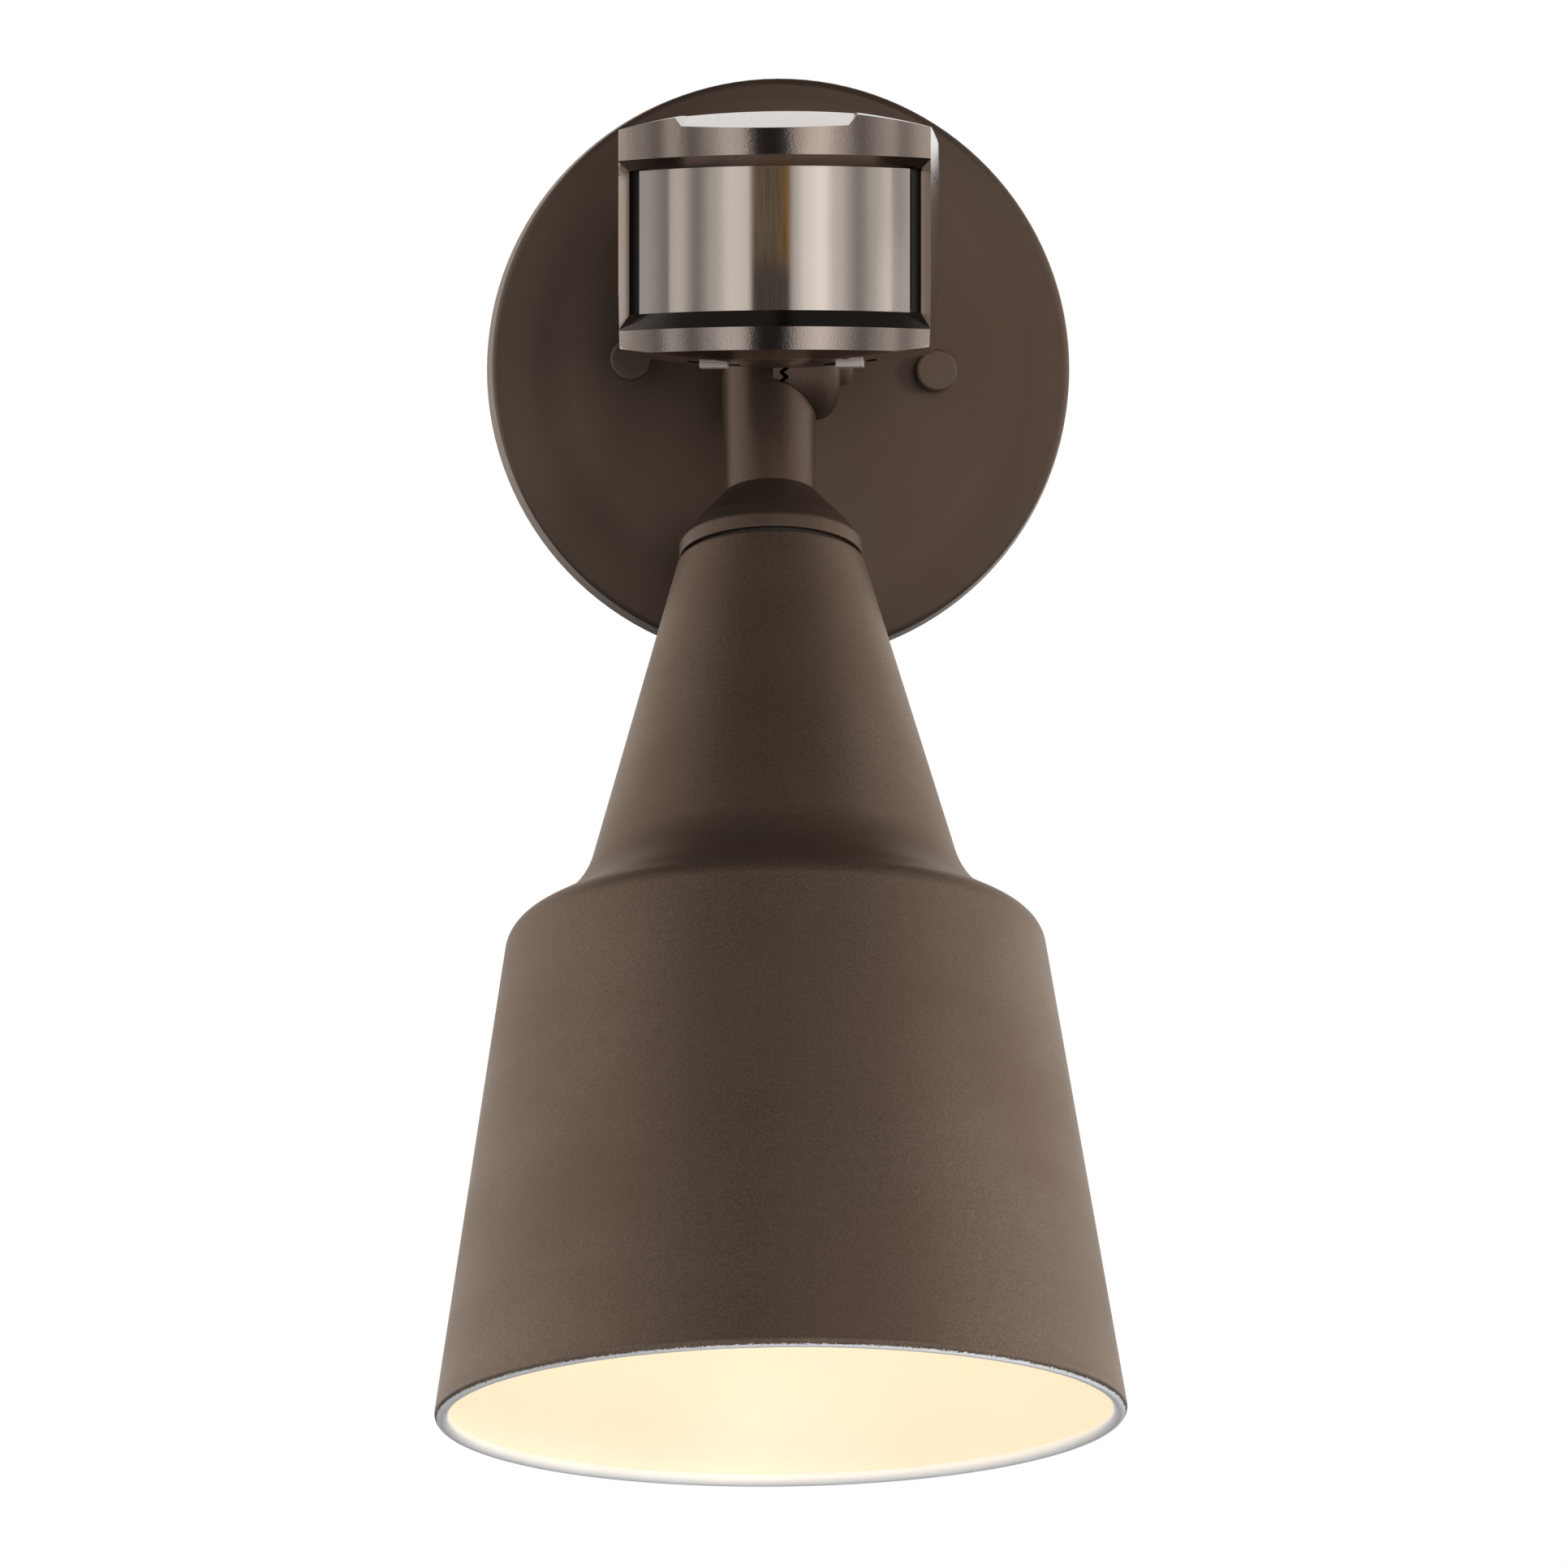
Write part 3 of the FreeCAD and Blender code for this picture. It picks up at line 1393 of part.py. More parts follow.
def main():
    os.makedirs("parts", exist_ok=True)
    for make in PIECES:
        shape = make()
        shape.exportStep("parts/" + make.__name__ + ".step")


main()
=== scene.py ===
import bpy
import json
import math
from mathutils import Color, Matrix, Vector

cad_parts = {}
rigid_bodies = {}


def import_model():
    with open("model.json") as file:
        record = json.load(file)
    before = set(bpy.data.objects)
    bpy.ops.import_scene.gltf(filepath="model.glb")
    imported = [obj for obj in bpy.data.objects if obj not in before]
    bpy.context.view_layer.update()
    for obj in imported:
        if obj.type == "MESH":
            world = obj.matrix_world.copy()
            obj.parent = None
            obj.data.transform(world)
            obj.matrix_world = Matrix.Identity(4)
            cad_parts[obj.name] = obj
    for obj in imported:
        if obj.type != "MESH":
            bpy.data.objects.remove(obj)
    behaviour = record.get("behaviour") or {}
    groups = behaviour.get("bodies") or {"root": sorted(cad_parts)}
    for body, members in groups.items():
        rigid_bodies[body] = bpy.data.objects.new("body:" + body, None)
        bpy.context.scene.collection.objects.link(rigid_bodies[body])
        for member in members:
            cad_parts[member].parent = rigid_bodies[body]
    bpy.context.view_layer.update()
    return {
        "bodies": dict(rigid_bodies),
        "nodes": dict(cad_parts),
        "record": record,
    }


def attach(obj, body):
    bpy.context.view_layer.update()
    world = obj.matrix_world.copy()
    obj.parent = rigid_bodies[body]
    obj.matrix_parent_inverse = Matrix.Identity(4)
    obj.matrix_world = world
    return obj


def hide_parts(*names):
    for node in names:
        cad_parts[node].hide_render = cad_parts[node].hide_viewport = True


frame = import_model()

NODES = frame["nodes"]
RECORD = frame["record"]
MM = 0.001

# ------------------------------------------------------------------ places of the moving parts

PIVOT_FORWARD = 40.0 * MM
ARM_ROLL = math.radians(0.45)
LAMP_TILT = math.radians(18.3)
LAMP_AXIS_PLACE = -4.7 * MM
PAN_FORWARD = 45.0 * MM
PAN_REST = math.radians(-8.0)

LAMP = (Matrix.Rotation(ARM_ROLL, 4, "Y")
        @ Matrix.Translation((0, -PIVOT_FORWARD, 0))
        @ Matrix.Rotation(-LAMP_TILT, 4, "X")
        @ Matrix.Translation((LAMP_AXIS_PLACE, 0, 0)))
HEAD = Matrix.Translation((0, -PAN_FORWARD, 0)) @ Matrix.Rotation(PAN_REST, 4, "Z")

# ------------------------------------------------------------------ sizes of the shade, in millimetres

# Corners of its line are (radius, height on the lamp's axis, rounding).
SHADE_WALL = 1.2
SHADE_START = 48.5
SHADE_NECK = (20.4, -SHADE_START, 1.8)
SHADE_WAIST = (42.0, -126.8, 22.5)
SHADE_SHOULDER = (58.0, -135.8, 6.5)
SHADE_RIM = (72.9, -240.5)
SHADE_SIDES = 192
BEAD_RADIUS = 1.5
BEAD_POINTS = 24
NIPPLE_HOLE = 5.0
LEAST_ROUNDING = 0.3

# ------------------------------------------------------------------ camera

CAMERA_PLACE = (-0.0770, -1.2786, -0.0956)
CAMERA_YAW = math.radians(3.5)
CAMERA_LENS = 127.0
CAMERA_SENSOR = 36.0
CAMERA_REACH = 50.0


def aim_camera():
    """Level camera a little to the left of the light, which looks back to the right."""
    data = bpy.data.cameras.new("camera")
    data.lens = CAMERA_LENS
    data.sensor_width = CAMERA_SENSOR
    data.clip_end = CAMERA_REACH
    camera = bpy.data.objects.new("camera", data)
    bpy.context.scene.collection.objects.link(camera)
    camera.location = CAMERA_PLACE
    camera.rotation_euler = (math.pi / 2, 0, -CAMERA_YAW)
    bpy.context.scene.camera = camera


# ------------------------------------------------------------------ node helpers

SOURCE_PLACE = (-1200, 0)
TURN_PLACE = (-1000, 0)
ENTRY_PLACE = (-900, 0)
EFFECT_PLACE = (-700, 0)
SHADER_PLACE = (300, 0)
OUTPUT_PLACE = (600, 0)


def add(tree, kind, place=(0, 0), **settings):
    """A new node at a place in the editor, with its own settings such as operation or data_type."""
    node = tree.nodes.new(kind)
    node.location = place
    for key, value in settings.items():
        setattr(node, key, value)
    return node


def fill(node, **values):
    """Sets input sockets by their names, with underscores for spaces."""
    for key, value in values.items():
        node.inputs[key.replace("_", " ")].default_value = value


def wire(tree, start, end):
    """Links an output socket to an input socket."""
    tree.links.new(start, end)


def calculate(tree, operation, first, second=None, third=None):
    """A Math node. Each operand is a socket or a number."""
    node = add(tree, "ShaderNodeMath", operation=operation)
    for index, value in enumerate((first, second, third)):
        if value is None:
            continue
        if isinstance(value, (int, float)):
            node.inputs[index].default_value = value
        else:
            wire(tree, value, node.inputs[index])
    return node.outputs[0]


# A Mix node has sockets of its own for each kind of data.
MIX_FACTOR = 0
MIX_FIRST_NUMBER = 2
MIX_SECOND_NUMBER = 3
MIX_FIRST_COLOUR = 6
MIX_SECOND_COLOUR = 7
MIX_NUMBER_OUT = 0
MIX_COLOUR_OUT = 2


def mixed(tree, factor, first, second):
    """A colour Mix node. The factor is a socket, and each operand a socket or a colour."""
    node = add(tree, "ShaderNodeMix", data_type="RGBA")
    wire(tree, factor, node.inputs[MIX_FACTOR])
    for index, value in ((MIX_FIRST_COLOUR, first), (MIX_SECOND_COLOUR, second)):
        if isinstance(value, tuple):
            node.inputs[index].default_value = (*value, 1.0)
        else:
            wire(tree, value, node.inputs[index])
    return node.outputs[MIX_COLOUR_OUT]


def blended(tree, factor, first, second):
    """A float Mix node of two sockets."""
    node = add(tree, "ShaderNodeMix", data_type="FLOAT")
    wire(tree, factor, node.inputs[MIX_FACTOR])
    wire(tree, first, node.inputs[MIX_FIRST_NUMBER])
    wire(tree, second, node.inputs[MIX_SECOND_NUMBER])
    return node.outputs[MIX_NUMBER_OUT]


def ramp(tree, value, stops, way="SMOOTHSTEP"):
    """A clamped Map Range node. The stops are its from low, from high, to low and to high."""
    node = add(tree, "ShaderNodeMapRange", interpolation_type=way, clamp=True)
    wire(tree, value, node.inputs[0])
    for index, stop in enumerate(stops, start=1):
        node.inputs[index].default_value = stop
    return node.outputs[0]


def linear(*display):
    """Linear colour of a display one, whose red, green and blue run from 0 to 255."""
    return tuple(Color([value / 255 for value in display]).from_srgb_to_scene_linear())


# ------------------------------------------------------------------ shared effects

FLECK_SCALE = 2400.0
CLOUD_SCALE = 26.0
PEEL_SCALE = 420.0
RING_SCALE = 900.0
BAND_SCALE = 70.0
RING_DRIFT = 0.0012
FLECK_CONTRAST = (0.36, 0.64, 0.0, 1.0)
SOFT_CONTRAST = (0.3, 0.7, 0.0, 1.0)


def new_group(name, inputs, outputs):
    group = bpy.data.node_groups.new(name, "ShaderNodeTree")
    for socket, kind, value in inputs:
        made = group.interface.new_socket(socket, in_out="INPUT", socket_type=kind)
        if value is not None:
            made.default_value = value
    for socket, kind in outputs:
        group.interface.new_socket(socket, in_out="OUTPUT", socket_type=kind)
    entry = add(group, "NodeGroupInput", ENTRY_PLACE)
    leave = add(group, "NodeGroupOutput", OUTPUT_PLACE)
    return group, entry, leave


def make_speckle_group():
    """Fine paint grain, slow cloudiness and orange peel, on a coordinate in metres."""
    group, entry, leave = new_group(
        "paint grain",
        [("Vector", "NodeSocketVector", None), ("Grain Scale", "NodeSocketFloat", FLECK_SCALE),
         ("Cloud Scale", "NodeSocketFloat", CLOUD_SCALE), ("Peel Scale", "NodeSocketFloat", PEEL_SCALE)],
        [("Grain", "NodeSocketFloat"), ("Cloud", "NodeSocketFloat"), ("Peel", "NodeSocketFloat")])
    grain = add(group, "ShaderNodeTexNoise")
    fill(grain, Detail=1.0, Roughness=0.6)
    cloud = add(group, "ShaderNodeTexNoise")
    fill(cloud, Detail=3.0, Roughness=0.5)
    peel = add(group, "ShaderNodeTexNoise")
    fill(peel, Detail=2.0, Roughness=0.45)
    for node, scale in ((grain, "Grain Scale"), (cloud, "Cloud Scale"), (peel, "Peel Scale")):
        wire(group, entry.outputs["Vector"], node.inputs["Vector"])
        wire(group, entry.outputs[scale], node.inputs["Scale"])
    wire(group, ramp(group, grain.outputs[0], FLECK_CONTRAST), leave.inputs["Grain"])
    wire(group, ramp(group, cloud.outputs[0], SOFT_CONTRAST), leave.inputs["Cloud"])
    wire(group, peel.outputs[0], leave.inputs["Peel"])
    return group


def make_turning_group():
    """Fine rings left by spinning, along the local Z axis of the coordinate."""
    group, entry, leave = new_group(
        "spinning rings",
        [("Vector", "NodeSocketVector", None), ("Scale", "NodeSocketFloat", RING_SCALE)],
        [("Rings", "NodeSocketFloat"), ("Bands", "NodeSocketFloat")])
    split = add(group, "ShaderNodeSeparateXYZ")
    wire(group, entry.outputs["Vector"], split.inputs[0])
    around = calculate(group, "ARCTAN2", split.outputs["Y"], split.outputs["X"])
    joined = add(group, "ShaderNodeCombineXYZ")
    wire(group, calculate(group, "MULTIPLY", around, RING_DRIFT), joined.inputs["X"])
    wire(group, split.outputs["Z"], joined.inputs["Z"])
    fine = add(group, "ShaderNodeTexNoise")
    fill(fine, Detail=2.0, Roughness=0.6)
    wire(group, joined.outputs[0], fine.inputs["Vector"])
    wire(group, entry.outputs["Scale"], fine.inputs["Scale"])
    broad = add(group, "ShaderNodeTexNoise")
    fill(broad, Detail=3.0, Roughness=0.5, Scale=BAND_SCALE)
    wire(group, joined.outputs[0], broad.inputs["Vector"])
    wire(group, ramp(group, fine.outputs[0], SOFT_CONTRAST, "LINEAR"), leave.inputs["Rings"])
    wire(group, ramp(group, broad.outputs[0], SOFT_CONTRAST, "LINEAR"), leave.inputs["Bands"])
    return group


GRAIN = make_speckle_group()
TURNING = make_turning_group()


def new_material(name):
    material = bpy.data.materials.new(name)
    material.use_nodes = True
    tree = material.node_tree
    tree.nodes.clear()
    shader = add(tree, "ShaderNodeBsdfPrincipled", SHADER_PLACE)
    out = add(tree, "ShaderNodeOutputMaterial", OUTPUT_PLACE)
    wire(tree, shader.outputs[0], out.inputs[0])
    return material, tree, shader


def object_vector(tree, pose=None):
    """Object coordinates, turned into the local frame of a pose where one is given."""
    source = add(tree, "ShaderNodeTexCoord", SOURCE_PLACE).outputs["Object"]
    if pose is None:
        return source
    place, turn, _ = pose.inverted().decompose()
    mapping = add(tree, "ShaderNodeMapping", TURN_PLACE)
    fill(mapping, Location=place, Rotation=turn.to_euler())
    wire(tree, source, mapping.inputs["Vector"])
    return mapping.outputs[0]


def placed_group(tree, group, vector, **values):
    node = add(tree, "ShaderNodeGroup", EFFECT_PLACE, node_tree=group)
    wire(tree, vector, node.inputs["Vector"])
    fill(node, **values)
    return node


def bumped(tree, shader, height, strength, distance):
    bump = add(tree, "ShaderNodeBump")
    fill(bump, Strength=strength, Distance=distance)
    wire(tree, height, bump.inputs["Height"])
    wire(tree, bump.outputs[0], shader.inputs["Normal"])


BRONZE = linear(110, 94, 82)
BRONZE_FLECK = linear(150, 128, 108)
CAST = linear(92, 77, 66)
PLATE = linear(87, 73, 63)
HOUSING = linear(161, 149, 140)
HOUSING_FLECK = linear(179, 167, 158)
EDGE_TINT = linear(246, 238, 230)
PLATE_EDGE_TINT = linear(232, 212, 198)
HOUSING_EDGE_TINT = (1.0, 1.0, 1.0)
WARM_SHIFT = (1.10, 0.98, 0.90)
FLECK_SHARE = 0.35
WARM_SHARE = 0.5
PAINT_BUMP = 0.4 * MM


def painted(name, colour, fleck, metallic, roughness, pose=None, rings=0.0, peel=0.05, spread=0.06,
            sparkle=0.0, edge=EDGE_TINT):
    """Satin metallic paint: fine flecks, slow colour clouds, and spinning rings where there are any."""
    material, tree, shader = new_material(name)
    vector = object_vector(tree, pose)
    grain = placed_group(tree, GRAIN, vector)
    base = mixed(tree, calculate(tree, "MULTIPLY", grain.outputs["Grain"], FLECK_SHARE), colour, fleck)
    warm = tuple(channel * factor for channel, factor in zip(colour, WARM_SHIFT))
    tinted = mixed(tree, calculate(tree, "MULTIPLY", grain.outputs["Cloud"], WARM_SHARE), base, warm)
    height = calculate(tree, "MULTIPLY_ADD", grain.outputs["Grain"], sparkle, grain.outputs["Peel"])
    rough = calculate(tree, "MULTIPLY_ADD", grain.outputs["Cloud"], spread, roughness - spread / 2)
    if rings:
        turning = placed_group(tree, TURNING, vector)
        height = calculate(tree, "MULTIPLY_ADD", turning.outputs["Rings"], rings, height)
        rough = calculate(tree, "MULTIPLY_ADD", turning.outputs["Bands"], spread, rough)
    wire(tree, tinted, shader.inputs["Base Color"])
    wire(tree, rough, shader.inputs["Roughness"])
    fill(shader, Metallic=metallic, Specular_Tint=(*edge, 1.0))
    bumped(tree, shader, height, peel, PAINT_BUMP)
    return material


# ------------------------------------------------------------------ finishes of the parts

MOTTLE_SHARE = 0.6
MOTTLE_FINENESS = 5.0
MOTTLE_BREADTH = 6.0
MOTTLE_ROUGHNESS = 0.08
SURFACE_BUMP = 0.2 * MM
FOAM_BUMP = 0.6 * MM


def plain(name, colour, second, roughness, metallic=0.0, scale=300.0, bump=0.1, coat=0.0,
          distance=SURFACE_BUMP):
    """A mottled finish of two near colours with a light surface grain."""
    material, tree, shader = new_material(name)
    vector = object_vector(tree)
    grain = placed_group(tree, GRAIN, vector, Grain_Scale=scale * MOTTLE_FINENESS,
                         Cloud_Scale=scale / MOTTLE_BREADTH, Peel_Scale=scale)
    base = mixed(tree, calculate(tree, "MULTIPLY", grain.outputs["Cloud"], MOTTLE_SHARE), colour, second)
    wire(tree, base, shader.inputs["Base Color"])
    rough = calculate(tree, "MULTIPLY_ADD", grain.outputs["Grain"], MOTTLE_ROUGHNESS,
                      roughness - MOTTLE_ROUGHNESS / 2)
    wire(tree, rough, shader.inputs["Roughness"])
    fill(shader, Metallic=metallic, Coat_Weight=coat)
    bumped(tree, shader, grain.outputs["Peel"], bump, distance)
    return material


LENS_FACE = linear(198, 186, 175)
LENS_FACE_CLOUD = linear(189, 176, 164)
LENS_CLOUD_SHARE = 0.4
LENS_CLOUD_SCALE = 40.0
COLUMN_LOWER = linear(160, 140, 128)
COLUMN_UPPER = linear(206, 176, 142)
COLUMN_AMBER = linear(228, 172, 112)
COLUMN_STREAK = linear(110, 96, 84)
COLUMN_EDGE = (3.4 * MM, 4.4 * MM, 1.0, 0.0)
COLUMN_RISE = (12.0 * MM, 20.0 * MM, 0.0, 1.0)
AMBER_SIDE = (1.2 * MM, 3.4 * MM, 0.0, 1.0)
STREAK_STRETCH = (1.0, 0.1, 0.03)
STREAK_SCALE = 2600.0
STREAK_CONTRAST = (0.5, 0.7, 0.0, 0.4)


def lens_column(tree, vector, split):
    """Brown column in the middle of the lens: the detector seen through it, amber towards one side."""
    upper = ramp(tree, split.outputs["Z"], COLUMN_RISE)
    column = mixed(tree, upper, COLUMN_LOWER, COLUMN_UPPER)
    amber = calculate(tree, "MULTIPLY", ramp(tree, split.outputs["X"], AMBER_SIDE), upper)
    column = mixed(tree, amber, column, COLUMN_AMBER)
    stretched = add(tree, "ShaderNodeMapping")
    fill(stretched, Scale=STREAK_STRETCH)
    wire(tree, vector, stretched.inputs["Vector"])
    streaks = add(tree, "ShaderNodeTexNoise")
    fill(streaks, Scale=STREAK_SCALE, Detail=1.0)
    wire(tree, stretched.outputs[0], streaks.inputs["Vector"])
    return mixed(tree, ramp(tree, streaks.outputs[0], STREAK_CONTRAST), column, COLUMN_STREAK)


def smoked_lens():
    """Bronze-tinted moulded lens: a glossy, half-mirroring face over a clear brown body."""
    material, tree, shader = new_material("smoked lens")
    vector = object_vector(tree, HEAD)
    grain = placed_group(tree, GRAIN, vector, Cloud_Scale=LENS_CLOUD_SCALE)
    face = mixed(tree, calculate(tree, "MULTIPLY", grain.outputs["Cloud"], LENS_CLOUD_SHARE),
                 LENS_FACE, LENS_FACE_CLOUD)
    split = add(tree, "ShaderNodeSeparateXYZ")
    wire(tree, vector, split.inputs[0])
    middle = ramp(tree, calculate(tree, "ABSOLUTE", split.outputs["X"]), COLUMN_EDGE)
    base = mixed(tree, middle, face, lens_column(tree, vector, split))
    wire(tree, base, shader.inputs["Base Color"])
    rough = calculate(tree, "MULTIPLY_ADD", grain.outputs["Cloud"], 0.03, 0.06)
    wire(tree, rough, shader.inputs["Roughness"])
    fill(shader, Metallic=0.8, Transmission_Weight=0.2, IOR=1.52, Coat_Weight=0.6, Coat_Roughness=0.08)
    return material


# ------------------------------------------------------------------ finishes of the shade and the bulb

# Inside of the shade: white enamel, tinted cream with painted warm light from the lit bulb.
ENAMEL_WITH_PAINTED_WARM_LIGHT = linear(245, 235, 216)
ENAMEL_CLOUD_WITH_PAINTED_WARM_LIGHT = linear(244, 233, 213)
ENAMEL_PEEL_SCALE = 160.0
RIM_PALE = linear(236, 236, 238)
RIM_PALE_CLOUD = linear(226, 227, 230)
PAINT_OUT = 0.35
PAINT_UP = 0.94
PAINT_END = 0.4 * MM
PAINT_FADE = 0.2 * MM
OUTER_HALF = (-0.2 * MM, 0.1 * MM, 0.0, 1.0)
RAGGED_SCALE = 900.0
RAGGED_DEPTH = 0.6 * MM
FRAYED_SCALE = 3200.0
FRAYED_DEPTH = 1.6 * MM
BULB_FACE = linear(252, 240, 214)
BULB_FACE_CLOUD = linear(247, 231, 200)
BULB_GLOW = linear(255, 240, 214)
BULB_GLOW_GRAIN = linear(255, 243, 222)
BULB_STRENGTH = 1.2
BULB_PEEL_SCALE = 700.0


def enamel(pose):
    """White enamel inside the shade, tinted cream with painted warm light from the bulb, a little warmer and
    rougher in cloudy patches, with a slow peel.
    """
    material, tree, shader = new_material("white enamel with painted warm light")
    vector = object_vector(tree, pose)
    grain = placed_group(tree, GRAIN, vector, Peel_Scale=ENAMEL_PEEL_SCALE)
    base = mixed(tree, grain.outputs["Cloud"], ENAMEL_WITH_PAINTED_WARM_LIGHT, ENAMEL_CLOUD_WITH_PAINTED_WARM_LIGHT)
    wire(tree, base, shader.inputs["Base Color"])
    wire(tree, calculate(tree, "MULTIPLY_ADD", grain.outputs["Cloud"], 0.02, 0.3), shader.inputs["Roughness"])
    bumped(tree, shader, grain.outputs["Peel"], 0.06, PAINT_BUMP)
    return material


def paint_cover(tree, vector):
    """Mask of the bronze paint on the bead, which ends in a ragged, grainy edge a little above its foot."""
    split = add(tree, "ShaderNodeSeparateXYZ")
    wire(tree, vector, split.inputs[0])
    flat = add(tree, "ShaderNodeCombineXYZ")
    wire(tree, split.outputs["X"], flat.inputs["X"])
    wire(tree, split.outputs["Y"], flat.inputs["Y"])
    radius = add(tree, "ShaderNodeVectorMath", operation="LENGTH")
    wire(tree, flat.outputs[0], radius.inputs[0])
    outward = calculate(tree, "SUBTRACT", radius.outputs["Value"], (SHADE_RIM[0] - BEAD_RADIUS) * MM)
    upward = calculate(tree, "SUBTRACT", split.outputs["Z"], SHADE_RIM[1] * MM)
    side = calculate(tree, "MULTIPLY_ADD", upward, PAINT_UP, calculate(tree, "MULTIPLY", outward, PAINT_OUT))
    for scale, detail, roughness, depth in ((RAGGED_SCALE, 4.0, 0.75, RAGGED_DEPTH),
                                            (FRAYED_SCALE, 2.0, 0.7, FRAYED_DEPTH)):
        noise = add(tree, "ShaderNodeTexNoise")
        fill(noise, Scale=scale, Detail=detail, Roughness=roughness)
        wire(tree, vector, noise.inputs["Vector"])
        side = calculate(tree, "MULTIPLY_ADD", noise.outputs[0], depth, side)
    cover = ramp(tree, side, (PAINT_END, PAINT_END + PAINT_FADE, 0.0, 1.0))
    return calculate(tree, "MULTIPLY", cover, ramp(tree, outward, OUTER_HALF))


def rim_paint(pose):
    """Bead at the shade's rim: pale enamel below, and the end of the bronze paint above."""
    material, tree, shader = new_material("rim paint")
    vector = object_vector(tree, pose)
    cover = paint_cover(tree, vector)
    grain = placed_group(tree, GRAIN, vector)
    fleck = calculate(tree, "MULTIPLY", grain.outputs["Grain"], FLECK_SHARE)
    paint = mixed(tree, fleck, BRONZE, BRONZE_FLECK)
    pale = mixed(tree, grain.outputs["Cloud"], RIM_PALE, RIM_PALE_CLOUD)
    wire(tree, mixed(tree, cover, pale, paint), shader.inputs["Base Color"])
    wire(tree, calculate(tree, "MULTIPLY", cover, 0.85), shader.inputs["Metallic"])
    wire(tree, calculate(tree, "MULTIPLY_ADD", cover, 0.12, 0.32), shader.inputs["Roughness"])
    bumped(tree, shader, calculate(tree, "ADD", cover, grain.outputs["Peel"]), 0.25, SURFACE_BUMP)
    return material


def lit_diffuser():
    """Frosted face of the bulb, lit from behind."""
    material, tree, shader = new_material("lit bulb face")
    vector = object_vector(tree, LAMP)
    grain = placed_group(tree, GRAIN, vector, Peel_Scale=BULB_PEEL_SCALE)
    base = mixed(tree, grain.outputs["Cloud"], BULB_FACE, BULB_FACE_CLOUD)
    wire(tree, base, shader.inputs["Base Color"])
    glow = mixed(tree, grain.outputs["Grain"], BULB_GLOW, BULB_GLOW_GRAIN)
    wire(tree, glow, shader.inputs["Emission Color"])
    fill(shader, Roughness=0.45, Emission_Strength=BULB_STRENGTH)
    bumped(tree, shader, grain.outputs["Peel"], 0.25, PAINT_BUMP)
    return material


def make_materials():
    """The finish of each slot of the record."""
    return {
        "bronze_metal": painted("bronze paint on the canopy", PLATE, PLATE, metallic=0.6, roughness=0.38,
                                peel=0.02, spread=0.03, edge=PLATE_EDGE_TINT),
        "bronze_casting": painted("bronze paint on castings", CAST, BRONZE, metallic=0.8, roughness=0.42,
                                  peel=0.10),
        "bronze_hardware": painted("bronze paint on nuts", PLATE, PLATE, metallic=0.35, roughness=0.4,
                                   peel=0.04),
        "shade_metal": painted("bronze paint on the shade", BRONZE, BRONZE_FLECK, metallic=0.85,
                               roughness=0.42, pose=LAMP, rings=0.35),
        "sensor_plastic": painted("bronze housing", HOUSING, HOUSING_FLECK, metallic=1.0, roughness=0.13,
                                  pose=HEAD, peel=0.02, spread=0.02, sparkle=1.0, edge=HOUSING_EDGE_TINT),
        "smoked_lens": smoked_lens(),
        "black_plastic": plain("black plastic", linear(20, 20, 20), linear(28, 27, 26), 0.45),
        "knob_plastic": plain("grey knob plastic", linear(172, 162, 156), linear(160, 150, 144), 0.35),
        "foam": plain("closed-cell foam", linear(40, 40, 40), linear(58, 57, 55), 0.85, scale=900.0, bump=0.8,
                      distance=FOAM_BUMP),
        "zinc_steel": plain("zinc-plated steel", linear(190, 190, 184), linear(168, 170, 172), 0.32, 1.0),
        "green_steel": plain("green ground screw", linear(38, 140, 72), linear(28, 118, 60), 0.35, 0.6),
        "brass": plain("brass", linear(214, 178, 110), linear(196, 158, 92), 0.28, 1.0),
        "porcelain": plain("glazed porcelain", linear(240, 236, 226), linear(232, 226, 214), 0.16, coat=0.6),
        "nickel_shell": plain("nickel shell", linear(212, 208, 200), linear(190, 188, 184), 0.22, 1.0),
        "bulb_white": plain("white bulb body", linear(238, 236, 230), linear(230, 228, 222), 0.3),
        "bulb_black": plain("black glass", linear(18, 18, 20), linear(30, 30, 32), 0.12),
        "bulb_diffuser": lit_diffuser(),
        "board_green": plain("green board", linear(32, 98, 56), linear(24, 82, 46), 0.4, scale=600.0),
        "board_white": plain("white board", linear(232, 230, 222), linear(222, 216, 190), 0.45),
        "detector_can": plain("nickel detector can", linear(206, 200, 188), linear(182, 178, 168), 0.25, 1.0),
        "photocell_cover": plain("photocell", linear(206, 150, 78), linear(178, 96, 48), 0.2, coat=0.8),
        "led_red": plain("red light", linear(190, 36, 28), linear(160, 24, 20), 0.18, coat=0.5),
        "relay_case": plain("blue relay case", linear(40, 66, 132), linear(34, 58, 118), 0.35),
        "capacitor_case": plain("red capacitor case", linear(180, 62, 38), linear(164, 52, 32), 0.35),
    }


# ------------------------------------------------------------------ modelling helpers

def deselect():
    if bpy.context.object and bpy.context.object.mode != "OBJECT":
        bpy.ops.object.mode_set(mode="OBJECT")
    bpy.ops.object.select_all(action="DESELECT")


def start_point(name, point):
    """A mesh of one vertex, from which a line is drawn by extruding."""
    deselect()
    bpy.ops.mesh.primitive_plane_add(size=MM, location=point)
    piece = bpy.context.object
    piece.name = name
    bpy.ops.object.transform_apply(location=True, rotation=True, scale=True)
    bpy.ops.object.mode_set(mode="EDIT")
    bpy.ops.mesh.select_all(action="SELECT")
    bpy.ops.mesh.merge(type="CENTER")
    return piece


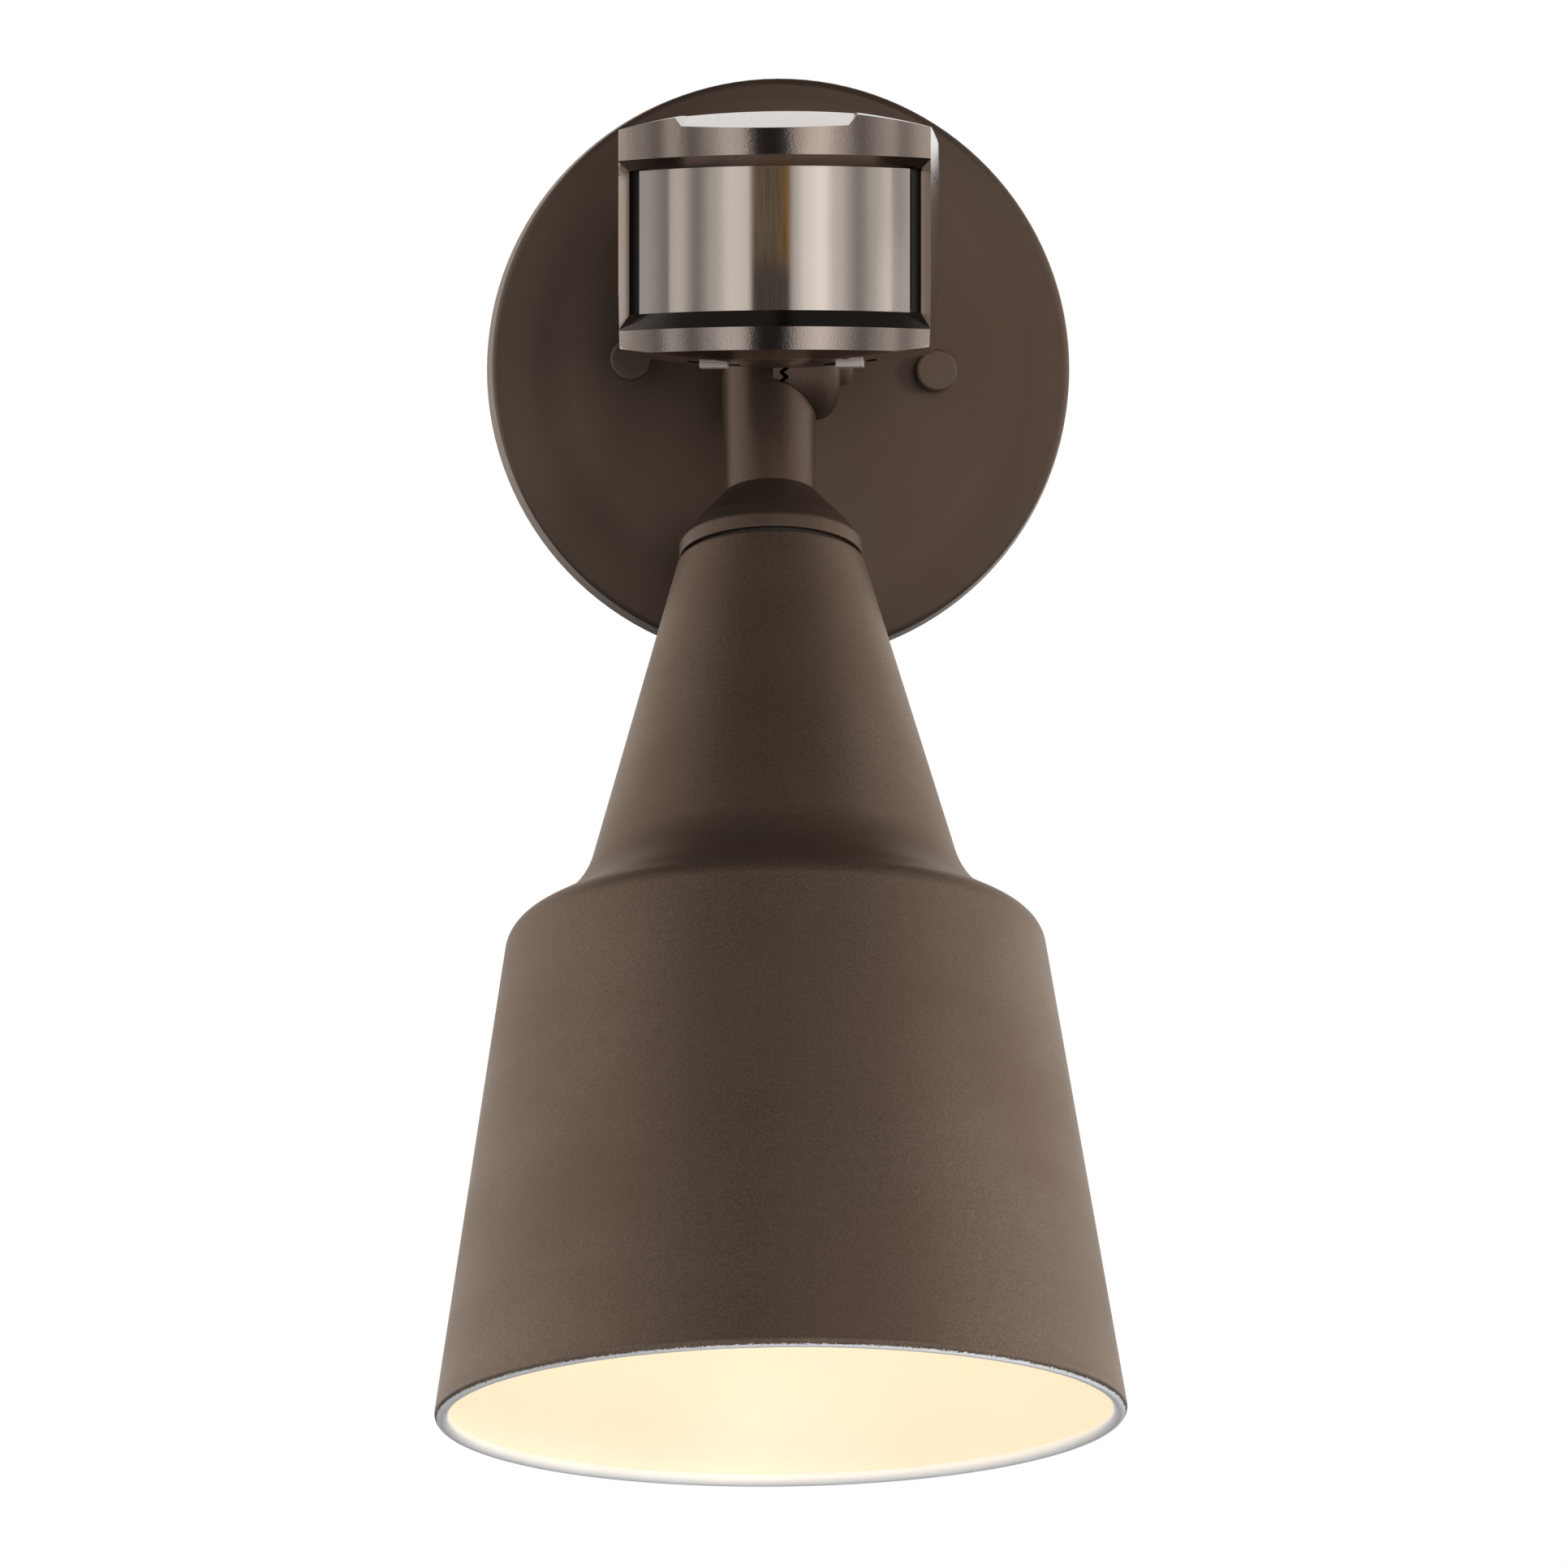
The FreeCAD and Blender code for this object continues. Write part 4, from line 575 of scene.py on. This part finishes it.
def rounded_line(corners, steps):
    """Points of a line through (radius, height, rounding) corners, with each rounding drawn as an arc."""
    points = []
    last = len(corners) - 1
    for index, corner in enumerate(corners):
        here = Vector(corner[:2])
        rounding = corner[2] if len(corner) > 2 else 0
        if index in (0, last) or rounding <= 0:
            points.append(here)
            continue
        back = (Vector(corners[index - 1][:2]) - here).normalized()
        onward = (Vector(corners[index + 1][:2]) - here).normalized()
        half = back.angle(onward) / 2
        centre = here + (back + onward).normalized() * (rounding / math.sin(half))
        start = here + back * (rounding / math.tan(half))
        end = here + onward * (rounding / math.tan(half))
        first = start - centre
        sweep = first.angle_signed(end - centre)
        for step in range(steps + 1):
            turn = Matrix.Rotation(-sweep * step / steps, 2)
            points.append(centre + turn @ first)
    return points


WELD_DISTANCE = 0.000002
SMOOTH_ANGLE = math.radians(35)


def spun(name, corners, pose, steps, arc_steps, closed=False):
    """Turns a line of (radius, height, rounding) corners in millimetres round the local Z axis."""
    points = [point * MM for point in rounded_line(corners, arc_steps)]
    if closed:
        points.append(points[0].copy())
    piece = start_point(name, (points[0].x, 0, points[0].y))
    for before, after in zip(points, points[1:]):
        step = after - before
        bpy.ops.mesh.extrude_region_move(TRANSFORM_OT_translate={"value": (step.x, 0, step.y)})
    bpy.ops.mesh.select_all(action="SELECT")
    bpy.ops.mesh.spin(steps=steps, angle=2 * math.pi, center=(0, 0, 0), axis=(0, 0, 1))
    bpy.ops.mesh.select_all(action="SELECT")
    bpy.ops.mesh.remove_doubles(threshold=WELD_DISTANCE)
    bpy.ops.mesh.normals_make_consistent(inside=False)
    bpy.ops.object.mode_set(mode="OBJECT")
    settle(piece, pose)
    bpy.ops.object.shade_smooth_by_angle(angle=SMOOTH_ANGLE)
    return piece


def settle(piece, pose):
    """Moves a piece from its local frame into place, with the move applied to its mesh."""
    deselect()
    piece.select_set(True)
    bpy.context.view_layer.objects.active = piece
    piece.matrix_world = pose
    bpy.ops.object.transform_apply(location=True, rotation=True, scale=True)


def give(piece, *materials):
    piece.data.materials.clear()
    for material in materials:
        piece.data.materials.append(material)


# ------------------------------------------------------------------ shade

def inner_line(chain, wall):
    """The inner side of a sheet, from the rim up to the hole."""
    ways = [(Vector(b[:2]) - Vector(a[:2])).normalized() for a, b in zip(chain, chain[1:])]
    inner = []
    for index, corner in enumerate(chain):
        here = Vector(corner[:2])
        if index == 0:
            inner.append((here.x, here.y - wall))
            continue
        if index == len(chain) - 1:
            side = Vector((ways[-1].y, -ways[-1].x))
            shifted = here + side * wall
            inner.append((shifted.x, shifted.y))
            continue
        before, after = ways[index - 1], ways[index]
        bisector = (Vector((before.y, -before.x)) + Vector((after.y, -after.x))).normalized()
        reach = wall / math.cos(before.angle(after) / 2)
        turn = before.x * after.y - before.y * after.x
        rounding = corner[2] + math.copysign(wall, turn)
        spot = here + bisector * reach
        inner.append((spot.x, spot.y, max(rounding, LEAST_ROUNDING)))
    return inner


def shade_body():
    """The spun sheet of the shade, from the nipple's hole out to the rim and back inside."""
    outer = [(NIPPLE_HOLE, -SHADE_START), SHADE_NECK, SHADE_WAIST, SHADE_SHOULDER, SHADE_RIM]
    corners = outer + inner_line(outer, SHADE_WALL)[::-1]
    return spun("shade_shell", corners, LAMP, steps=SHADE_SIDES, arc_steps=14, closed=True)


# What faces the lamp's axis, or down from under the top, is enamelled. The paint's end has a zone of its own.
ENAMEL_INDEX = 1
RIM_INDEX = 2
TURNED_IN = -0.02
TURNED_DOWN = -0.5
UNDER_TOP = -(SHADE_START + 1.0) * MM
RIM_ZONE = (SHADE_RIM[1] + 4.0) * MM


def part_inside_from_outside(piece):
    """Gives the shade's inner faces the enamel, and the faces at its rim the paint's edge."""
    inverse = LAMP.inverted()
    for face in piece.data.polygons:
        spot = inverse @ face.center
        normal = inverse.to_3x3() @ face.normal
        outward = Vector((spot.x, spot.y, 0)).normalized().dot(normal)
        if outward < TURNED_IN or (normal.z < TURNED_DOWN and spot.z < UNDER_TOP):
            face.material_index = ENAMEL_INDEX
        elif spot.z < RIM_ZONE:
            face.material_index = RIM_INDEX


def bead_line():
    """Round section of the bead that is rolled at the rim."""
    line = []
    for index in range(BEAD_POINTS):
        turn = index * 2 * math.pi / BEAD_POINTS
        line.append((SHADE_RIM[0] - BEAD_RADIUS + BEAD_RADIUS * math.cos(turn),
                     SHADE_RIM[1] + BEAD_RADIUS * math.sin(turn)))
    return line


def dress_shade(materials):
    rim = rim_paint(LAMP)
    body = shade_body()
    give(body, materials["shade_metal"], enamel(LAMP), rim)
    part_inside_from_outside(body)
    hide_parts("lamp_shade")
    bead = spun("shade_bead", bead_line(), LAMP, steps=SHADE_SIDES, arc_steps=2, closed=True)
    give(bead, rim)
    for piece in (body, bead):
        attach(piece, "lamp_head")


# ------------------------------------------------------------------ studio

# Directions round the object: degrees are 0 in front of it and grow towards +X, and heights are the
# upward share of a direction. Each fade is (from, to, level before, level after).
DEGREES = 180 / math.pi
FULL_TURN = 360.0
PANEL_PEAK = 2.0
PANEL_TOP = (0.24, 0.44, 0.0, 1.0)
PANEL_FOOT = (-0.12, -0.34, 0.0, 1.0)
PANELS = [(-180, 1.25), (-110, 1.6), (-85, 1.2), (-72, 0.6), (-60.5, 0.24), (-59, 0.84), (-55, 0.9),
          (-46.5, 0.24), (-38, 0.72), (-31, 1.26), (-23, 1.14), (-20.5, 0.02), (-5.5, 0.02), (-3, 0.72),
          (3, 1.44), (9.5, 1.74), (16, 0.96), (26, 0.24), (33, 0.66), (40.5, 1.02), (42, 0.5),
          (45.5, 0.42), (52, 0.96), (62, 1.35), (110, 1.7), (180, 1.25)]
GROUND_LEVELS = (60.0, 150.0, 0.75, 0.05)
GROUND_DEEP = (-0.88, -0.62, 0.08, 1.0)
SLOT_AZIMUTH = -12.5
SLOT_EDGE = (6.0, 11.0, 0.1, 1.0)
CEILING_LEVEL = 1.3
CEILING_FRONT = (18.0, 50.0, 1.3, 0.32)
CEILING_TOP = (50.0, 64.0, 1.0, 0.12)
CEILING_BACK = (122.0, 150.0, 0.0, 1.0)
CEILING_SIDES = (0.45, 0.95, 0.0, 1.0)


def angle_from_front(tree, along, forward):
    """Angle in degrees from the front, towards the direction that the first socket measures."""
    return calculate(tree, "MULTIPLY", calculate(tree, "ARCTAN2", along, forward), DEGREES)


def panel_wall(tree, degrees):
    """Level of the tall panels that stand round the object."""
    panels = add(tree, "ShaderNodeValToRGB")
    panels.color_ramp.interpolation = "EASE"
    elements = panels.color_ramp.elements
    elements.remove(elements[-1])
    for index, (angle, level) in enumerate(PANELS):
        share = angle / FULL_TURN + 0.5
        element = elements.new(share) if index else elements[0]
        element.position = share
        element.color = (*[level / PANEL_PEAK] * 3, 1)
    wire(tree, calculate(tree, "MULTIPLY_ADD", degrees, 1 / FULL_TURN, 0.5), panels.inputs[0])
    return calculate(tree, "MULTIPLY", panels.outputs[0], PANEL_PEAK)


def ceiling(tree, split, forward, degrees):
    """Level overhead: bright behind and at the sides, fading in front, with a dark slot down the middle."""
    over = angle_from_front(tree, split.outputs["Z"], forward)
    front = calculate(tree, "MULTIPLY", ramp(tree, over, CEILING_FRONT), ramp(tree, over, CEILING_TOP))
    aside = ramp(tree, calculate(tree, "ABSOLUTE", split.outputs["X"]), CEILING_SIDES)
    open_sky = calculate(tree, "MAXIMUM", ramp(tree, over, CEILING_BACK), aside)
    gain = calculate(tree, "SUBTRACT", CEILING_LEVEL, front)
    level = calculate(tree, "MULTIPLY_ADD", gain, open_sky, front)
    off_slot = calculate(tree, "ABSOLUTE", calculate(tree, "SUBTRACT", degrees, SLOT_AZIMUTH))
    return calculate(tree, "MULTIPLY", level, ramp(tree, off_slot, SLOT_EDGE))


def ground(tree, height, degrees):
    """Level from below: pale behind the object's sides, and dark straight down and in front."""
    return calculate(tree, "MULTIPLY", ramp(tree, calculate(tree, "ABSOLUTE", degrees), GROUND_LEVELS),
                     ramp(tree, height, GROUND_DEEP))


def studio():
    """Plain white for the camera, and for all else a studio of tall soft panels round a dark front."""
    world = bpy.data.worlds.new("studio")
    bpy.context.scene.world = world
    world.use_nodes = True
    tree = world.node_tree
    tree.nodes.clear()
    out = add(tree, "ShaderNodeOutputWorld")
    seen = add(tree, "ShaderNodeBackground")
    fill(seen, Color=(1, 1, 1, 1), Strength=1.0)
    around = add(tree, "ShaderNodeBackground")
    split = add(tree, "ShaderNodeSeparateXYZ")
    wire(tree, add(tree, "ShaderNodeTexCoord").outputs["Generated"], split.inputs[0])
    height = split.outputs["Z"]
    forward = calculate(tree, "MULTIPLY", split.outputs["Y"], -1.0)
    degrees = angle_from_front(tree, split.outputs["X"], forward)
    lower = blended(tree, ramp(tree, height, PANEL_FOOT), panel_wall(tree, degrees),
                    ground(tree, height, degrees))
    level = blended(tree, ramp(tree, height, PANEL_TOP), lower, ceiling(tree, split, forward, degrees))
    wire(tree, level, around.inputs["Strength"])
    pick = add(tree, "ShaderNodeMixShader")
    path = add(tree, "ShaderNodeLightPath")
    wire(tree, path.outputs["Is Camera Ray"], pick.inputs[0])
    wire(tree, around.outputs[0], pick.inputs[1])
    wire(tree, seen.outputs[0], pick.inputs[2])
    wire(tree, pick.outputs[0], out.inputs[0])


FLOOR_HEIGHT = -0.62
FLOOR_RADIUS = 6.0
FLOOR_SIDES = 96
FLOOR_COLOUR = (0.8, 0.8, 0.8, 1)
FLOOR_FADE = (1.2, 2.2, 0.75, 1.0)


def floor():
    """A pale matt floor for the shadow. It fades to plain white far out and is clear from below."""
    deselect()
    bpy.ops.mesh.primitive_circle_add(vertices=FLOOR_SIDES, radius=FLOOR_RADIUS, fill_type="NGON",
                                      location=(0, 0, FLOOR_HEIGHT))
    slab = bpy.context.object
    slab.name = "floor"
    material = bpy.data.materials.new("pale floor")
    material.use_nodes = True
    tree = material.node_tree
    tree.nodes.clear()
    out = add(tree, "ShaderNodeOutputMaterial")
    matt = add(tree, "ShaderNodeBsdfDiffuse")
    fill(matt, Color=FLOOR_COLOUR)
    glow = add(tree, "ShaderNodeEmission")
    fill(glow, Color=(1, 1, 1, 1), Strength=1.0)
    path = add(tree, "ShaderNodeLightPath")
    pick = add(tree, "ShaderNodeMixShader")
    reach = add(tree, "ShaderNodeVectorMath", operation="LENGTH")
    wire(tree, add(tree, "ShaderNodeTexCoord").outputs["Object"], reach.inputs[0])
    share = ramp(tree, reach.outputs["Value"], FLOOR_FADE)
    wire(tree, calculate(tree, "MULTIPLY", path.outputs["Is Camera Ray"], share), pick.inputs[0])
    wire(tree, matt.outputs[0], pick.inputs[1])
    wire(tree, glow.outputs[0], pick.inputs[2])
    clear = add(tree, "ShaderNodeBsdfTransparent")
    unseen = add(tree, "ShaderNodeMixShader")
    below = add(tree, "ShaderNodeNewGeometry").outputs["Backfacing"]
    wire(tree, calculate(tree, "MAXIMUM", path.outputs["Is Glossy Ray"], below), unseen.inputs[0])
    wire(tree, pick.outputs[0], unseen.inputs[1])
    wire(tree, clear.outputs[0], unseen.inputs[2])
    wire(tree, unseen.outputs[0], out.inputs[0])
    give(slab, material)


LIGHT_DISTANCE = 0.9
BULB_LIGHT_SIZE = 0.02
BULB_LIGHT_ENERGY = 0.038
BULB_LIGHT_COLOUR = (1.0, 0.99, 0.97)
BULB_LIGHT_PLACE = (0, 0, -236.0 * MM)


def side_light(name, azimuth_deg, elevation_deg, size, energy):
    """A soft light for the matt part of the paints. It throws the arm's shade on the canopy."""
    data = bpy.data.lights.new(name, "AREA")
    data.shape = "SQUARE"
    data.size = size
    data.energy = energy
    light = bpy.data.objects.new(name, data)
    bpy.context.scene.collection.objects.link(light)
    azimuth, elevation = math.radians(azimuth_deg), math.radians(elevation_deg)
    way = Vector((math.sin(azimuth) * math.cos(elevation), -math.cos(azimuth) * math.cos(elevation),
                  math.sin(elevation)))
    light.location = way * LIGHT_DISTANCE
    light.rotation_euler = way.to_track_quat("Z", "Y").to_euler()
    light.visible_glossy = False


def interior_light():
    """Light from the bulb's face, which the shade hides from the camera."""
    data = bpy.data.lights.new("bulb light", "POINT")
    data.shadow_soft_size = BULB_LIGHT_SIZE
    data.energy = BULB_LIGHT_ENERGY
    data.color = BULB_LIGHT_COLOUR
    lamp = bpy.data.objects.new("bulb light", data)
    bpy.context.scene.collection.objects.link(lamp)
    lamp.matrix_world = LAMP @ Matrix.Translation(BULB_LIGHT_PLACE)
    lamp.parent = frame["bodies"]["bulb"]


# ------------------------------------------------------------------ softened edges

SOFT_EDGES = {"sensor_top_shell": 0.35, "sensor_body_shell": 0.35, "on_time_knob": 0.2,
              "range_knob": 0.2, "cap_nuts": 0.15, "socket_cap": 0.25}
SOFT_EDGE_ANGLE = math.radians(28)
SOFT_EDGE_STEPS = 2
NODE_WELD_DISTANCE = 0.000005


def soften(node, width):
    """Rounds a node's sharp edges a little, as moulding and paint do, with live modifiers."""
    weld = node.modifiers.new("weld", "WELD")
    weld.merge_threshold = NODE_WELD_DISTANCE
    bevel = node.modifiers.new("bevel", "BEVEL")
    bevel.width = width * MM
    bevel.segments = SOFT_EDGE_STEPS
    bevel.limit_method = "ANGLE"
    bevel.angle_limit = SOFT_EDGE_ANGLE
    bevel.use_clamp_overlap = True
    weighted = node.modifiers.new("normals", "WEIGHTED_NORMAL")
    weighted.mode = "FACE_AREA"
    weighted.weight = 50


# ------------------------------------------------------------------ all together

def dress_nodes(materials):
    """Gives every CAD node the finish of its slot."""
    for row in RECORD["subparts"]:
        node = NODES[row["node"]]
        for entry in node.material_slots:
            entry.material = materials[row["material_slot"]]


def main():
    bpy.context.scene.view_settings.view_transform = "Standard"
    aim_camera()
    materials = make_materials()
    dress_nodes(materials)
    for name, width in SOFT_EDGES.items():
        soften(NODES[name], width)
    dress_shade(materials)
    studio()
    floor()
    side_light("key light", azimuth_deg=38, elevation_deg=0, size=0.2, energy=5.0)
    side_light("fill light", azimuth_deg=-70, elevation_deg=-8, size=0.5, energy=1.2)
    interior_light()


main()
